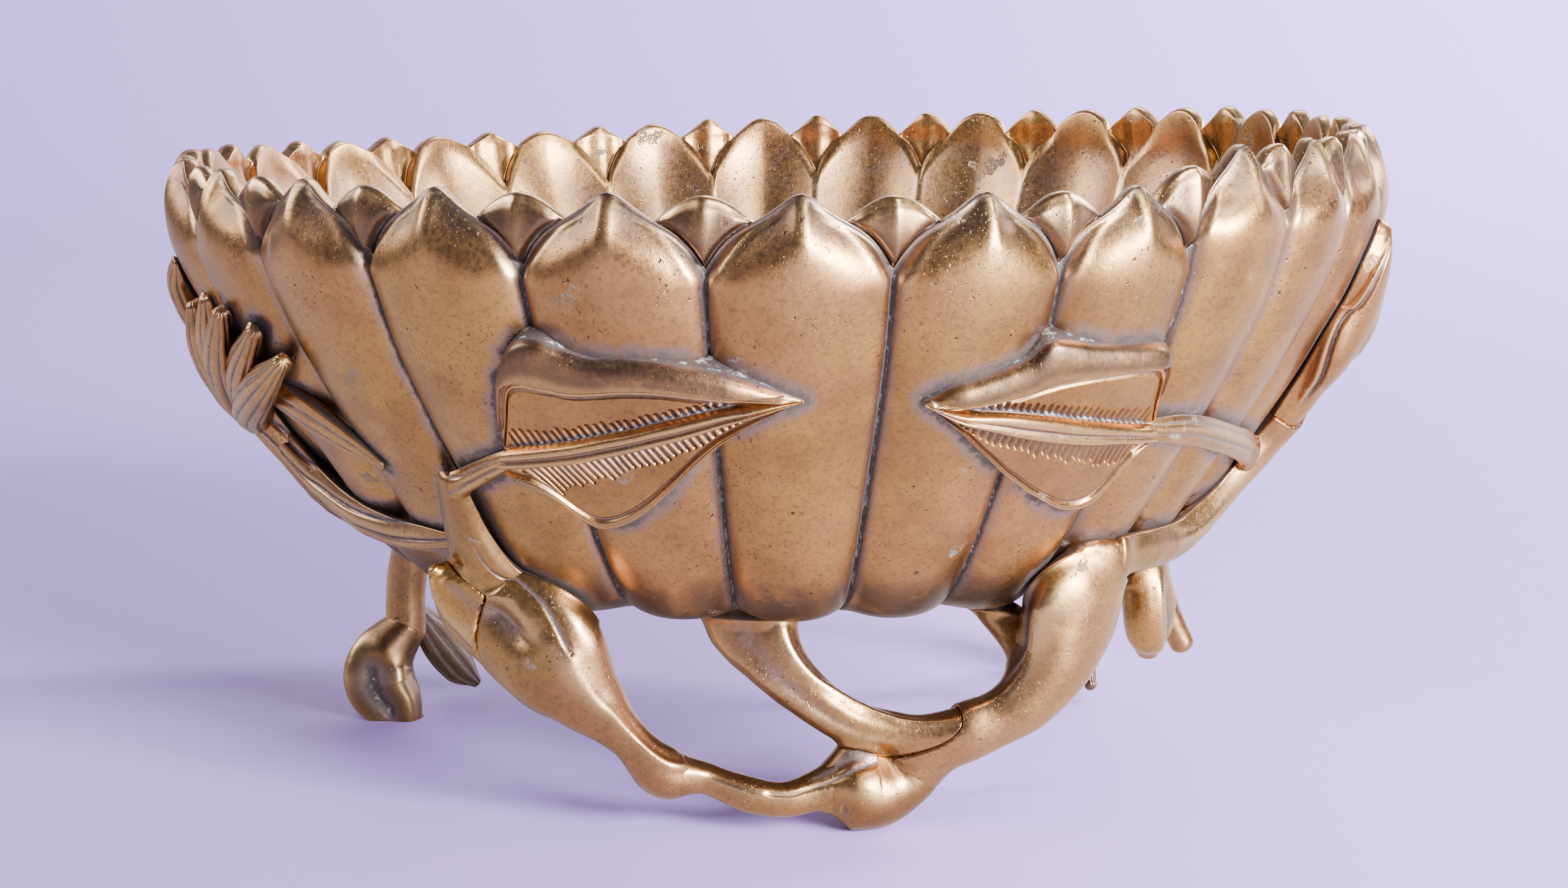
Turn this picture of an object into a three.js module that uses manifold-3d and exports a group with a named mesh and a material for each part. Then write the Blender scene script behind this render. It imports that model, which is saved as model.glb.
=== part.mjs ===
import * as THREE from 'three';
import Module from 'manifold-3d';

// A lotus-form bronze censer: a bowl of two rows of petals, carried on three
// groups of looped stems that climb its wall and open into leaves, a flower
// and buds. Millimetres, +Z up. The front is toward -Y, and an angle on the
// bowl is in degrees from the front, growing toward +X.

// Driving dimensions of the bowl
const rimRadius = 110;
const underRadius = 68;
const standHeight = 37;
const bowlHeight = 74;
const floorThickness = 4.6;
const rightRimRise = 5.6;
const leftSwell = 1.7;

// Petals
const petalCount = 26;
const crownDepth = 3.4;
const tipDrop = 14.8;
const outerWall = 2.4;
const innerTipSetback = 0.9;
const innerTipDrop = 14.5;
const innerFaceInset = 3.7;
const innerFaceCrown = 1.8;
const innerWall = 2.3;
const fluteDepth = 2.8;

// Stems, feet and reliefs
const seam = 0.3;
const footCircle = 62;
const rearFootCircle = 74;
const frontFootAngle = 12;
const leftRearAngle = -101;
const rightRearAngle = 130;
const frontFootHalfHeight = 7.4;
const legHalfWidth = 11.5;
const ringHalfWidth = 3;
const rearLegHalfWidth = 3.5;
const rearFootHalfWidth = 7;
const leafField = 1.1;
const leafBorder = 2.9;
const leafRib = 3.1;
const reliefRoot = 5;
const stalkHalfWidth = 3.4;
const flowerPetalHalfWidth = 3.3;

const wasm = await Module();
wasm.setup();

const TAU = Math.PI * 2;
const radians = THREE.MathUtils.degToRad;
const lerp = THREE.MathUtils.lerp;
const clamp = THREE.MathUtils.clamp;

const bronze = (color, roughness = 0.38) =>
  new THREE.MeshStandardMaterial({ color, roughness, metalness: 1 });
const bowlBronze = bronze(0xb98a57);
const stemBronze = bronze(0xa87a48);
const reliefBronze = bronze(0xbd8c56, 0.34);
const recessBronze = bronze(0x7d5a38, 0.5);

// The wall's outer crest, from the flat underside up past the tallest tips.
// Each point is a share of the spread and of the bowl's height.
const wallShape = [
  [-0.2, 0], [0, 0.004], [0.11, 0.045], [0.29, 0.17], [0.475, 0.33], [0.635, 0.467],
  [0.79, 0.615], [0.915, 0.757], [0.99, 0.9], [0.985, 1.0], [0.955, 1.12],
];
const spread = rimRadius - underRadius;
const wall = new THREE.SplineCurve(wallShape.map(([out, up]) => new THREE.Vector2(
  underRadius + spread * out / 0.99,
  standHeight + bowlHeight * up,
)));

// Wall frames by share of the wall's length, looked up many times.
const wallSteps = 240;
const wallFrames = Array.from({ length: wallSteps + 1 }, (_, k) => {
  const at = wall.getPointAt(k / wallSteps);
  const along = wall.getTangentAt(k / wallSteps);
  return { r: at.x, z: at.y, nr: along.y, nz: -along.x };
});

function wallFrame(share) {
  const spot = clamp(share, 0, 1) * wallSteps;
  const low = Math.min(Math.floor(spot), wallSteps - 1);
  const mix = spot - low;
  const a = wallFrames[low];
  const b = wallFrames[low + 1];
  return {
    r: lerp(a.r, b.r, mix), z: lerp(a.z, b.z, mix),
    nr: lerp(a.nr, b.nr, mix), nz: lerp(a.nz, b.nz, mix),
  };
}

function shareAtHeight(z) {
  const above = wallFrames.findIndex((frame, k) => k > 4 && frame.z >= z);
  if (above < 0) return 1;
  const a = wallFrames[above - 1];
  const b = wallFrames[above];
  return (above - 1 + clamp((z - a.z) / (b.z - a.z), 0, 1)) / wallSteps;
}

// The bowl isn't quite round: its rim swells a little toward the left.
function swell(angle, radius) {
  const toLeft = Math.max(0, -Math.sin(radians(angle)));
  return leftSwell * toLeft ** 2 * (radius - underRadius) / spread;
}

// A point at an angle, a share of the wall's length, and a height proud of the crest.
function wallPoint(angle, share, proud) {
  const frame = wallFrame(share);
  const r = frame.r + frame.nr * proud + swell(angle, frame.r);
  const turn = radians(angle);
  return new THREE.Vector3(Math.sin(turn) * r, -Math.cos(turn) * r, frame.z + frame.nz * proud);
}

// A point on the wall by angle and by height over the floor, for a bowl as drawn.
const drawnStand = 37;
const drawnBowl = 74;
function lift(z) {
  return z <= drawnStand
    ? z / drawnStand * standHeight
    : standHeight + (z - drawnStand) / drawnBowl * bowlHeight;
}
const onBowl = (angle, z, proud = 0) => wallPoint(angle, shareAtHeight(lift(z)), proud);

// A point round the axis.
function around(angle, radius, z) {
  const turn = radians(angle);
  return new THREE.Vector3(Math.sin(turn) * radius, -Math.cos(turn) * radius, lift(z));
}

// A point of the front legs: a radius as drawn between the feet and the legs' tops,
// and past those tops the same distance out from them.
const drawnFootCircle = 62;
const drawnLegTop = 77;
const legTopRadius = underRadius + 9;
function onLeg(angle, radius, z) {
  const share = (Math.min(radius, drawnLegTop) - drawnFootCircle) / (drawnLegTop - drawnFootCircle);
  const past = Math.max(radius - drawnLegTop, 0);
  return around(angle, lerp(footCircle, legTopRadius, share) + past, z);
}

// Petals were modelled by hand: their spacing drifts, and the right side stands taller.
function petalAngle(i) {
  const even = i * 360 / petalCount;
  const turn = radians(even);
  return even - 2.8 + 3.8 * Math.cos(turn - radians(27)) + 1.9 * Math.cos(2 * turn - radians(39))
    + 1.3 * Math.sin(3 * turn);
}

const smooth = (x, from, to) => THREE.MathUtils.smoothstep(x, from, to);

function rimHeight(angle) {
  const a = ((angle % 360) + 360) % 360;
  const rise = smooth(a, 34, 42) * (1 - smooth(a, 105, 185)) * rightRimRise;
  const sag = 2.4 * smooth(a, 175, 215) * (1 - smooth(a, 225, 280));
  return standHeight + bowlHeight + rise - sag;
}

// The pointed outline of an outer petal: how far its edge has dropped at a share of its width,
// and the share of its width at a drop, which Newton's rule finds in a few steps.
const tipSlope = 0.76;
const outline = (a) => tipSlope * a + (1 - tipSlope) * a ** 5;
function widthLeft(drop) {
  let a = drop;
  for (let step = 0; step < 5; step += 1) {
    a -= (outline(a) - drop) / (tipSlope + 5 * (1 - tipSlope) * a ** 4);
  }
  return clamp(a, 0, 1);
}

const risesOuter = [0, 0.11, 0.25, 0.44, 0.64, 0.8, 0.91, 1];
const risesInside = [0.1, 0.3, 0.52, 0.74, 0.9, 1];

// Columns of points up the wall, shared by both rows. Each knows its angle, its share
// of the half width across the outer petal and across the inner one, which sits half a
// petal round, and the height of both petals' tips.
const seamAngle = (i) => (petalAngle(i) + petalAngle(i + 1)) / 2;
const across = [-1, -0.74, -0.38, 0, 0.38, 0.74];
const columns = [];
for (let i = 0; i < petalCount; i += 1) {
  for (const a of across) {
    const seamAt = seamAngle(a < 0 ? i - 1 : i);
    columns.push({
      angle: lerp(petalAngle(i), seamAt, Math.abs(a)),
      outer: Math.abs(a),
      inner: 1 - Math.abs(a),
      outerTip: rimHeight(petalAngle(i)),
      innerTip: rimHeight(seamAt),
    });
  }
}

// A closed body from a start point, rows of equal length round the axis, and an end point.
function closedRows(start, rows, end) {
  const count = rows[0].length;
  const points = [start, ...rows.flat(), end];
  const faces = [];
  const at = (row, column) => 1 + row * count + (column % count);
  for (let j = 0; j < count; j += 1) {
    faces.push(0, at(0, j + 1), at(0, j));
    for (let k = 0; k + 1 < rows.length; k += 1) {
      faces.push(at(k, j), at(k, j + 1), at(k + 1, j + 1));
      faces.push(at(k, j), at(k + 1, j + 1), at(k + 1, j));
    }
    faces.push(points.length - 1, at(rows.length - 1, j), at(rows.length - 1, j + 1));
  }
  return solid(points, faces);
}

function solid(points, faces) {
  const vertProperties = new Float32Array(points.flatMap((p) => [p.x, p.y, p.z]));
  const mesh = new wasm.Mesh({ numProp: 3, vertProperties, triVerts: new Uint32Array(faces) });
  return new wasm.Manifold(mesh);
}

const axisPoint = (z) => new THREE.Vector3(0, 0, z);
const floorPoint = (point, z) => new THREE.Vector3(point.x, point.y, 0).multiplyScalar(0.92).setZ(z);

// How deep the seams between petals are: none on the underside, full up the wall.
const seamDepth = (share) => crownDepth * smooth(share, 0.02, 0.16);

const outerEdge = (column) => shareAtHeight(column.outerTip - tipDrop * outline(column.outer));
const innerEdge = (column) => shareAtHeight(
  column.innerTip - innerTipSetback - innerTipDrop * column.inner ** 2,
);

// The crowned face of an outer petal. The crown narrows and sinks toward the tip, which
// leaves a short keel there.
function outerFace(column, rise, proud) {
  const share = outerEdge(column) * rise;
  const drop = clamp((column.outerTip - wallFrame(share).z) / tipDrop, 0, 1);
  const width = widthLeft(drop);
  const reach = width > 0 ? clamp(column.outer / width, 0, 1) : 1;
  const crown = Math.sqrt(width) * (1 - reach ** 2.6) ** (1 / 2.6);
  return wallPoint(column.angle, share, proud - seamDepth(share) * (1 - crown));
}

// What shows behind the outer edge: the back of an outer tip where that stands higher,
// and otherwise the face of the inner petal.
function behindEdge(column, share) {
  const tipStandsHigher = outerEdge(column) >= innerEdge(column);
  const inset = tipStandsHigher
    ? crownDepth + outerWall
    : innerFaceInset + innerFaceCrown * column.inner ** 2;
  return wallPoint(column.angle, share, -inset);
}

// The inside of an inner petal is a flute, with a ridge where two of them meet.
function innerFace(column, rise) {
  const ridge = fluteDepth * column.inner ** 1.6 * smooth(rise, 0.08, 0.4);
  return wallPoint(column.angle, innerEdge(column) * rise, -innerFaceInset - innerWall - ridge);
}

const rowsOf = (rises, surface) => rises.map((rise) => columns.map((column) => surface(column, rise)));
const grownFace = (proud) => (column, rise) => outerFace(column, rise, proud);

// The bowl is one casting: up the outer petals, over both rims, down the flutes to the floor.
function bowl() {
  const floor = standHeight + floorThickness;
  return closedRows(axisPoint(standHeight), [
    ...rowsOf(risesOuter, grownFace(0)),
    columns.map((column) => behindEdge(column, outerEdge(column))),
    columns.map((column) => behindEdge(column, innerEdge(column))),
    ...rowsOf([...risesInside].reverse(), innerFace),
    columns.map((column) => floorPoint(innerFace(column, risesInside[0]), floor)),
  ], axisPoint(floor));
}

// The filled outside of the bowl, grown by a clearance, cuts what lies on it to fit.
const bowlCutter = (proud) => closedRows(
  axisPoint(standHeight - proud), rowsOf(risesOuter, grownFace(proud)),
  axisPoint(standHeight + bowlHeight),
);

const bowlFit = bowlCutter(seam);

// A stem along stations of a point, a half width round the bowl and a half depth
// toward the axis. Its ends are domed, and nothing of it goes below the floor.
const dome = 0.55;
function stem(stations, { grow = 0, rings = 2, sides = 8 } = {}) {
  const path = new THREE.CatmullRomCurve3(stations.map((s) => s[0]));
  const sizes = new THREE.CatmullRomCurve3(
    stations.map((s) => new THREE.Vector3(s[1], s[2] ?? s[1], 0)),
  );
  const count = (stations.length - 1) * rings;
  const rows = [];
  for (let k = 0; k <= count; k += 1) {
    const t = k / count;
    rows.push(ring(path.getPoint(t), path.getTangent(t), sizes.getPoint(t), grow, sides));
  }
  const last = stations[stations.length - 1];
  const start = path.getPoint(0).addScaledVector(path.getTangent(0), -stations[0][1] * dome - grow);
  const end = path.getPoint(1).addScaledVector(path.getTangent(1), last[1] * dome + grow);
  for (const point of [start, end]) {
    point.z = Math.max(point.z, 0);
  }
  return closedRows(start, rows, end);
}

function ring(centre, along, size, grow, sides) {
  const outward = new THREE.Vector3(centre.x, centre.y, 0).normalize();
  if (Math.abs(outward.dot(along)) > 0.9) outward.set(0, 0, 1);
  const width = new THREE.Vector3().crossVectors(along, outward).normalize();
  const depth = new THREE.Vector3().crossVectors(width, along).normalize();
  return Array.from({ length: sides }, (_, j) => {
    const turn = (j + 0.5) / sides * TAU;
    const point = centre.clone();
    point.addScaledVector(width, Math.cos(turn) * (size.x + grow));
    point.addScaledVector(depth, -Math.sin(turn) * (size.y + grow));
    point.z = Math.max(point.z, 0);
    return point;
  });
}

// A leaf lying on the petals. Three curves run from its base to its tip: the upper
// outline, the midrib and the lower outline, each as angle and height. Across it the
// surface goes over a rolled border, a sunk field and the rib, then the same again.
const flatCurve = (list) => new THREE.CatmullRomCurve3(
  list.map(([angle, z]) => new THREE.Vector3(angle, z, 0)),
);
const leafSection = [
  ['upper', 0, -0.4], ['upper', 0.08, leafBorder * 0.8], ['upper', 0.2, leafBorder],
  ['upper', 0.34, leafField], ['upper', 0.86, leafField], ['rib', 0, leafRib],
  ['lower', 0.86, leafField], ['lower', 0.3, leafField], ['lower', 0.16, leafBorder * 0.8],
  ['lower', 0, -0.4],
];
const leafSteps = 9;
const leafRoom = 4;
function leaf(shape) {
  return sheetBody(leafFace(shape, 0), -reliefRoot);
}

// The room that a leaf needs: its outline grown by a clearance, and open above it.
function leafCutter(shape) {
  const face = leafFace(shape, leafRoom);
  const wider = face.map((row) => [
    pastEnd(row[1], row[0], seam), ...row.slice(1, -1), pastEnd(row.at(-2), row.at(-1), seam),
  ]);
  wider[0] = wider[0].map((spot, j) => pastEnd(wider[1][j], spot, seam));
  return sheetBody(wider, -reliefRoot);
}

// A spot moved on, in the same direction, by a distance on the bowl.
function pastEnd(from, spot, distance) {
  const length = onBowl(from.angle, from.z).distanceTo(onBowl(spot.angle, spot.z));
  const share = length > 0 ? distance / length : 0;
  return {
    angle: spot.angle + (spot.angle - from.angle) * share,
    z: spot.z + (spot.z - from.z) * share,
    proud: spot.proud,
  };
}

function leafFace(shape, raise) {
  const curves = {
    upper: flatCurve(shape.upper), rib: flatCurve(shape.rib), lower: flatCurve(shape.lower),
  };
  const pointsRight = shape.rib[0][0] < shape.rib[shape.rib.length - 1][0];
  const section = pointsRight ? leafSection : [...leafSection].reverse();
  const face = [];
  for (let k = 0; k <= leafSteps; k += 1) {
    const rib = curves.rib.getPoint(k / leafSteps);
    face.push(section.map(([edge, inward, proud]) => {
      const spot = curves[edge].getPoint(k / leafSteps).lerp(rib, inward);
      return { angle: spot.x, z: spot.y, proud: proud + raise };
    }));
  }
  return face;
}

// A closed body between a sculpted face on the bowl and the same outline sunk below it.
function sheetBody(face, sunk) {
  const rows = face.length;
  const columns = face[0].length;
  const front = face.flat().map((s) => onBowl(s.angle, s.z, s.proud));
  const back = face.flat().map((s) => onBowl(s.angle, s.z, sunk));
  const faces = [];
  const total = front.length;
  const quad = (a, b, c, d) => faces.push(a, b, c, a, c, d);
  const at = (k, j) => k * columns + j;
  for (let k = 0; k + 1 < rows; k += 1) {
    for (let j = 0; j + 1 < columns; j += 1) {
      quad(at(k, j), at(k, j + 1), at(k + 1, j + 1), at(k + 1, j));
      quad(total + at(k, j), total + at(k + 1, j), total + at(k + 1, j + 1), total + at(k, j + 1));
    }
    quad(at(k, 0), at(k + 1, 0), total + at(k + 1, 0), total + at(k, 0));
    const e = columns - 1;
    quad(at(k + 1, e), at(k, e), total + at(k, e), total + at(k + 1, e));
  }
  for (let j = 0; j + 1 < columns; j += 1) {
    quad(at(0, j + 1), at(0, j), total + at(0, j), total + at(0, j + 1));
    const e = rows - 1;
    quad(at(e, j), at(e, j + 1), total + at(e, j + 1), total + at(e, j));
  }
  return solid([...front, ...back], faces);
}

const frontLeftLeafShape = {
  upper: [[-28.6, 68.6], [-26.2, 80], [-22.3, 87], [-16.5, 84.3], [-10, 84.3], [-4, 82.4], [2.2, 78.5]],
  rib: [[-28.9, 67], [-26.5, 67.9], [-22.8, 68.9], [-17.3, 70.3], [-11, 72.6], [-5, 75.2], [2.2, 78.1]],
  lower: [[-28.6, 65.3], [-26.2, 61.6], [-22.8, 56.9], [-19.2, 54.4], [-13, 59.6], [-7.2, 68.5], [2.2, 77.7]],
};
const frontRightLeafShape = {
  upper: [[41, 70.8], [39.3, 78.8], [36.5, 84.8], [27, 86.8], [23, 84.2], [18, 81.6], [13.3, 77.4]],
  rib: [[41.2, 69.3], [38.8, 69.8], [35.5, 70.6], [30, 71.9], [24.5, 73.4], [18.7, 75.1], [13.3, 77]],
  lower: [[41, 67.6], [39.2, 61.5], [36.4, 55.9], [31, 58.4], [25, 64.4], [18.5, 72], [13.3, 76.6]],
};

// The same leaf on the far side of the bowl, turned round to it.
function turned(shape, by) {
  const move = (list) => list.map(([angle, z]) => [angle + by, z]);
  return { upper: move(shape.upper), rib: move(shape.rib), lower: move(shape.lower) };
}
const rightRearLeafShape = turned(frontLeftLeafShape, 188);
const leftRearLeafShape = turned(frontRightLeafShape, 189);

function frontLeftLeg(grow = 0) {
  return stem([
    [onBowl(-39.5, 62, 1), 2.4, 2.2],
    [onBowl(-39, 53, 2), 4, 3.4],
    [onBowl(-35.5, 45, 1), legHalfWidth * 0.8, 5.5],
    [onLeg(-33.5, 75, 36), legHalfWidth, 6.5],
    [onLeg(-32.5, 73.5, 28), legHalfWidth * 0.9, 6.2],
    [onLeg(-28, 71.5, 21.5), legHalfWidth * 0.56, 5],
    [onLeg(-21, 68.5, 16), 4.3, 4.2],
    [onLeg(-17.5, 67, 11), 4.4, 4.2],
  ], { grow, sides: 10 });
}

function frontLeftThorn() {
  return stem([
    [onLeg(-37.5, 80, 33), 4.6, 3],
    [onLeg(-39.6, 84.5, 38), 4.2, 3.2],
    [onLeg(-40.6, 87.5, 43), 2.6, 2.2],
    [onLeg(-41, 88.5, 46.5), 0.9, 0.9],
  ]);
}

function frontRing(grow = 0) {
  return stem([
    [onLeg(-17, 66, 10.6), ringHalfWidth * 0.9],
    [onLeg(-11, 63.5, 9.4), ringHalfWidth * 0.87],
    [onLeg(-4.3, 63.5, 6.7), ringHalfWidth],
    [onLeg(1.2, 63.5, 5.9), ringHalfWidth],
    [onLeg(8, 62.5, 6.7), ringHalfWidth * 1.1],
  ], { grow });
}

function frontFoot(grow = 0) {
  const h = frontFootHalfHeight;
  return stem([
    [onLeg(frontFootAngle - 5.4, 62, 7), h * 0.5, 4],
    [onLeg(frontFootAngle - 1, 62, 6.7), h, 6],
    [onLeg(frontFootAngle + 3.6, 62, 6), h * 0.9, 6.4],
    [onLeg(frontFootAngle + 8.2, 63, 7.4), h * 0.72, 5.2],
    [onLeg(frontFootAngle + 11, 64.5, 10), h * 0.5, 3.8],
  ], { grow, sides: 10 });
}

function frontCrossStem() {
  return stem([
    [onLeg(-5, 58, 41), 9, 4],
    [onLeg(-3.6, 59, 35), 8, 4],
    [onLeg(-0.6, 60.5, 29.5), 5.6, 3.6],
    [onLeg(3.6, 61.5, 24.4), 4.3, 3.5],
    [onLeg(9.2, 62.5, 19.6), 3.8, 3.6],
    [onLeg(15, 63.5, 17), 3.7, 3.6],
    [onLeg(22, 65, 16), 3.4, 3.4],
  ]);
}

function frontRightLeg(grow = 0) {
  return stem([
    [onLeg(22, 65, 13), 3.9, 3.7],
    [onLeg(28.2, 69, 16.8), 4.2, 4],
    [onLeg(34, 73, 21.5), 5.2, 4.6],
    [onLeg(37.8, 75.5, 28), 6.7, 5.4],
    [onLeg(39.8, 76, 34.5), 9, 6],
    [onLeg(41, 76.5, 40.5), 9.4, 6],
    [onBowl(42.5, 45.5, -0.5), 7, 4.6],
  ], { grow, sides: 10 });
}

function rightBudStem(grow = 0) {
  return stem([
    [onBowl(48.5, 45.5, 1.6), 4.6, 3.8],
    [onBowl(54, 45.2, 2), 4.8, 4],
    [onBowl(61, 45.2, 2.2), 4.6, 4.2],
    [onBowl(67.5, 48, 2.6), 4.2, 4],
    [onBowl(72.2, 54, 3), 3.6, 3.6],
    [onBowl(74.2, 61, 3.2), 3.3, 3.4],
    [onBowl(74, 67, 3.2), 3.1, 3.2],
  ], { grow });
}

function rightBud() {
  return stem([
    [onBowl(73.8, 66, 3.4), 3.2, 3.4],
    [onBowl(72.6, 73.5, 3), 4.6, 3.8],
    [onBowl(71.2, 80, 2.4), 6, 4.2],
    [onBowl(71.6, 87, 1.8), 6.4, 4.2],
    [onBowl(70.6, 94, 0.9), 5.2, 3.6],
    [onBowl(70.2, 99, 0.2), 2.4, 2.6],
  ], { sides: 10 });
}

function hangingBud(grow = 0) {
  return stem([
    [onLeg(65.8, 71.5, 39), 2.6, 2.6],
    [onLeg(65.4, 72, 32), 5, 4.2],
    [onLeg(65.2, 72, 27), 4.4, 3.8],
    [onLeg(65.2, 71.8, 23.2), 1.4, 1.4],
  ], { grow });
}

function hangingStemEnd() {
  return stem([
    [onLeg(74, 70, 39), 2.8, 2.6],
    [onLeg(74.4, 72.5, 30), 2.9, 2.6],
    [onLeg(74.8, 76.3, 21.6), 2.3, 2.2],
  ]);
}

function frontRightStrut() {
  return stem([
    [onLeg(35, 58, 39), 3.2, 3],
    [onLeg(37.4, 62, 32), 3, 2.8],
    [onLeg(38.4, 70, 26.5), 2.6, 2.6],
  ]);
}

// A rear leg comes down from the bowl's lower edge to its foot.
function rearLeg(angle, grow = 0) {
  const w = rearLegHalfWidth;
  return stem([
    [around(angle, underRadius + 1, 43), w * 1.2, w * 1.1],
    [around(angle, lerp(underRadius + 1, rearFootCircle, 0.4), 34), w * 1.1, w],
    [around(angle, rearFootCircle - 1.6, 26), w, w],
    [around(angle, rearFootCircle - 1.4, 18), w * 1.05, w * 1.05],
  ], { grow });
}

// Its foot is a curled bud, worn flat where it stands.
function rearFoot(angle, grow = 0) {
  const w = rearFootHalfWidth;
  return stem([
    [around(angle, rearFootCircle - 1.2, 17.4), w * 0.56, w * 0.56],
    [around(angle + 0.6, rearFootCircle + 2.8, 12.6), w * 0.86, w * 0.84],
    [around(angle + 1, rearFootCircle + 3.8, 7.6), w, w * 0.94],
    [around(angle + 0.6, rearFootCircle + 1.4, 3), w * 0.84, w * 0.8],
    [around(angle, rearFootCircle - 0.2, -1.6), w * 0.6, w * 0.56],
  ], { grow, sides: 10 });
}

function rearWebLeaf(angle) {
  return stem([
    [around(angle - 1.4, rearFootCircle - 2.6, 20), 2.6, 1.9],
    [around(angle - 6.4, rearFootCircle - 4.4, 14), 5, 2.3],
    [around(angle - 12, rearFootCircle - 5.6, 7.4), 4.2, 2],
    [around(angle - 16, rearFootCircle - 6.4, 3), 1.4, 1.2],
  ]);
}

// The flower's stalks run side by side from the left rear leg to the tie.
function flowerStalk(grow = 0) {
  const w = stalkHalfWidth;
  return stem([
    [around(leftRearAngle + 2, underRadius + 4, 38), w, w * 0.9],
    [onBowl(-91, 43, 1.6), w, w],
    [onBowl(-82.5, 50, 2.8), w, w],
    [onBowl(-77, 57.5, 3.4), w, w],
    [onBowl(-74.5, 65, 3.6), w * 0.9, w],
  ], { grow, rings: 3 });
}

const flowerTips = [[-75, 83], [-70, 86.6], [-65, 88], [-60, 87.4], [-55.6, 84.6], [-52, 80.6]];
function flowerHead(grow = 0) {
  const w = flowerPetalHalfWidth;
  const petals = flowerTips.map(([angle, z], i) => {
    const mix = (share, from) => lerp(from, angle, share);
    const high = (share) => lerp(66, z, share);
    const proud = 2.6 + (i % 2);
    return stem([
      [onBowl(-74, 66, 3.6), w * 0.7, w * 0.8],
      [onBowl(mix(0.36, -74), high(0.33), proud + 1.2), w, w],
      [onBowl(mix(0.74, -74), high(0.7), proud + 0.8), w * 1.1, w * 0.9],
      [onBowl(angle, z, proud - 1), w * 0.5, w * 0.5],
    ], { grow, sides: 6 });
  });
  return petals.reduce((a, b) => a.add(b));
}

function narrowLeaf() {
  return stem([
    [onBowl(-69, 69.5, 2), 2, 1.8],
    [onBowl(-61, 72.6, 0.8), 3.1, 2],
    [onBowl(-54, 69.4, 0.4), 3.4, 2],
    [onBowl(-49.6, 62, 0.4), 3.2, 2],
    [onBowl(-49.8, 51.8, 0.2), 0.8, 1],
  ], { rings: 3 });
}

function curledLeaf() {
  return stem([
    [onBowl(-78.4, 75, 2.4), 2.4, 2.2],
    [onBowl(-79.4, 83, 2.2), 3.8, 2.6],
    [onBowl(-76.6, 89.6, 1.4), 3.2, 2.2],
    [onBowl(-74.6, 92.6, 0.2), 1, 1],
  ]);
}

// A leaf's stem lies on the petals and thickens away from the leaf.
function petiole(points, width) {
  return stem(points.map(([angle, z], k) => [
    onBowl(angle, z, 1.4), width * (1 + 0.12 * k), width * (0.9 + 0.1 * k),
  ]), { rings: 3 });
}
const frontLeftPetiole = () => petiole([[-27.6, 67.3], [-32.6, 64], [-38.6, 59.6]], 2.3);
const frontRightPetiole = () => petiole([[39.8, 69.4], [48, 67.6], [60, 64], [71.6, 59.2]], 2.4);
const rightRearPetiole = () => petiole(
  [[160.4, 67.3], [152, 63], [142, 54], [rightRearAngle + 1.5, 42]], 2.3,
);
const leftRearPetiole = () => petiole(
  [[228.8, 69.4], [238, 65], [248, 55], [360 + leftRearAngle - 2, 42]], 2.4,
);

function fit(piece, ...others) {
  return others.reduce((rest, other) => rest.subtract(other), piece);
}

function toGeometry(body) {
  const { vertProperties, triVerts } = body.getMesh();
  const geometry = new THREE.BufferGeometry();
  geometry.setAttribute('position', new THREE.BufferAttribute(vertProperties, 3));
  geometry.setIndex(new THREE.BufferAttribute(triVerts, 1));
  return geometry.toNonIndexed();
}

const group = new THREE.Group();
function place(name, body, material) {
  const geometry = toGeometry(body);
  geometry.computeVertexNormals();
  const mesh = new THREE.Mesh(geometry, material);
  mesh.name = name;
  group.add(mesh);
}

place('bowl', bowl(), bowlBronze);

// Front group: the left leg, the ring, the cross stem and the right leg meet at the foot.
place('front_foot', frontFoot(), recessBronze);
place('front_left_leg', fit(frontLeftLeg(), bowlFit), stemBronze);
place('front_left_thorn', fit(frontLeftThorn(), frontLeftLeg(seam), bowlFit), reliefBronze);
place('front_ring_stem', fit(frontRing(), frontLeftLeg(seam), frontFoot(seam)), stemBronze);
place('front_right_leg', fit(frontRightLeg(), bowlFit, frontFoot(seam)), stemBronze);
place('front_cross_stem', fit(
  frontCrossStem(), bowlFit, frontFoot(seam), frontRightLeg(seam), frontRing(seam),
), stemBronze);
place('front_right_strut', fit(frontRightStrut(), bowlFit, frontRightLeg(seam)), stemBronze);

// Leaves and their stems on the front of the bowl.
place('front_left_leaf', fit(leaf(frontLeftLeafShape), bowlFit), reliefBronze);
place('front_left_leaf_stem', fit(
  frontLeftPetiole(), bowlFit, leafCutter(frontLeftLeafShape), frontLeftLeg(seam),
), reliefBronze);
place('front_right_leaf', fit(leaf(frontRightLeafShape), bowlFit), reliefBronze);
place('right_bud_stem', fit(rightBudStem(), bowlFit, frontRightLeg(seam)), stemBronze);
place('front_right_leaf_stem', fit(
  frontRightPetiole(), bowlFit, leafCutter(frontRightLeafShape), rightBudStem(seam),
), reliefBronze);
place('right_bud', fit(rightBud(), bowlFit, rightBudStem(seam)), reliefBronze);
place('hanging_bud', fit(hangingBud(), bowlFit, rightBudStem(seam)), reliefBronze);
place('hanging_stem_end', fit(
  hangingStemEnd(), bowlFit, rightBudStem(seam), hangingBud(seam),
), stemBronze);

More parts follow.
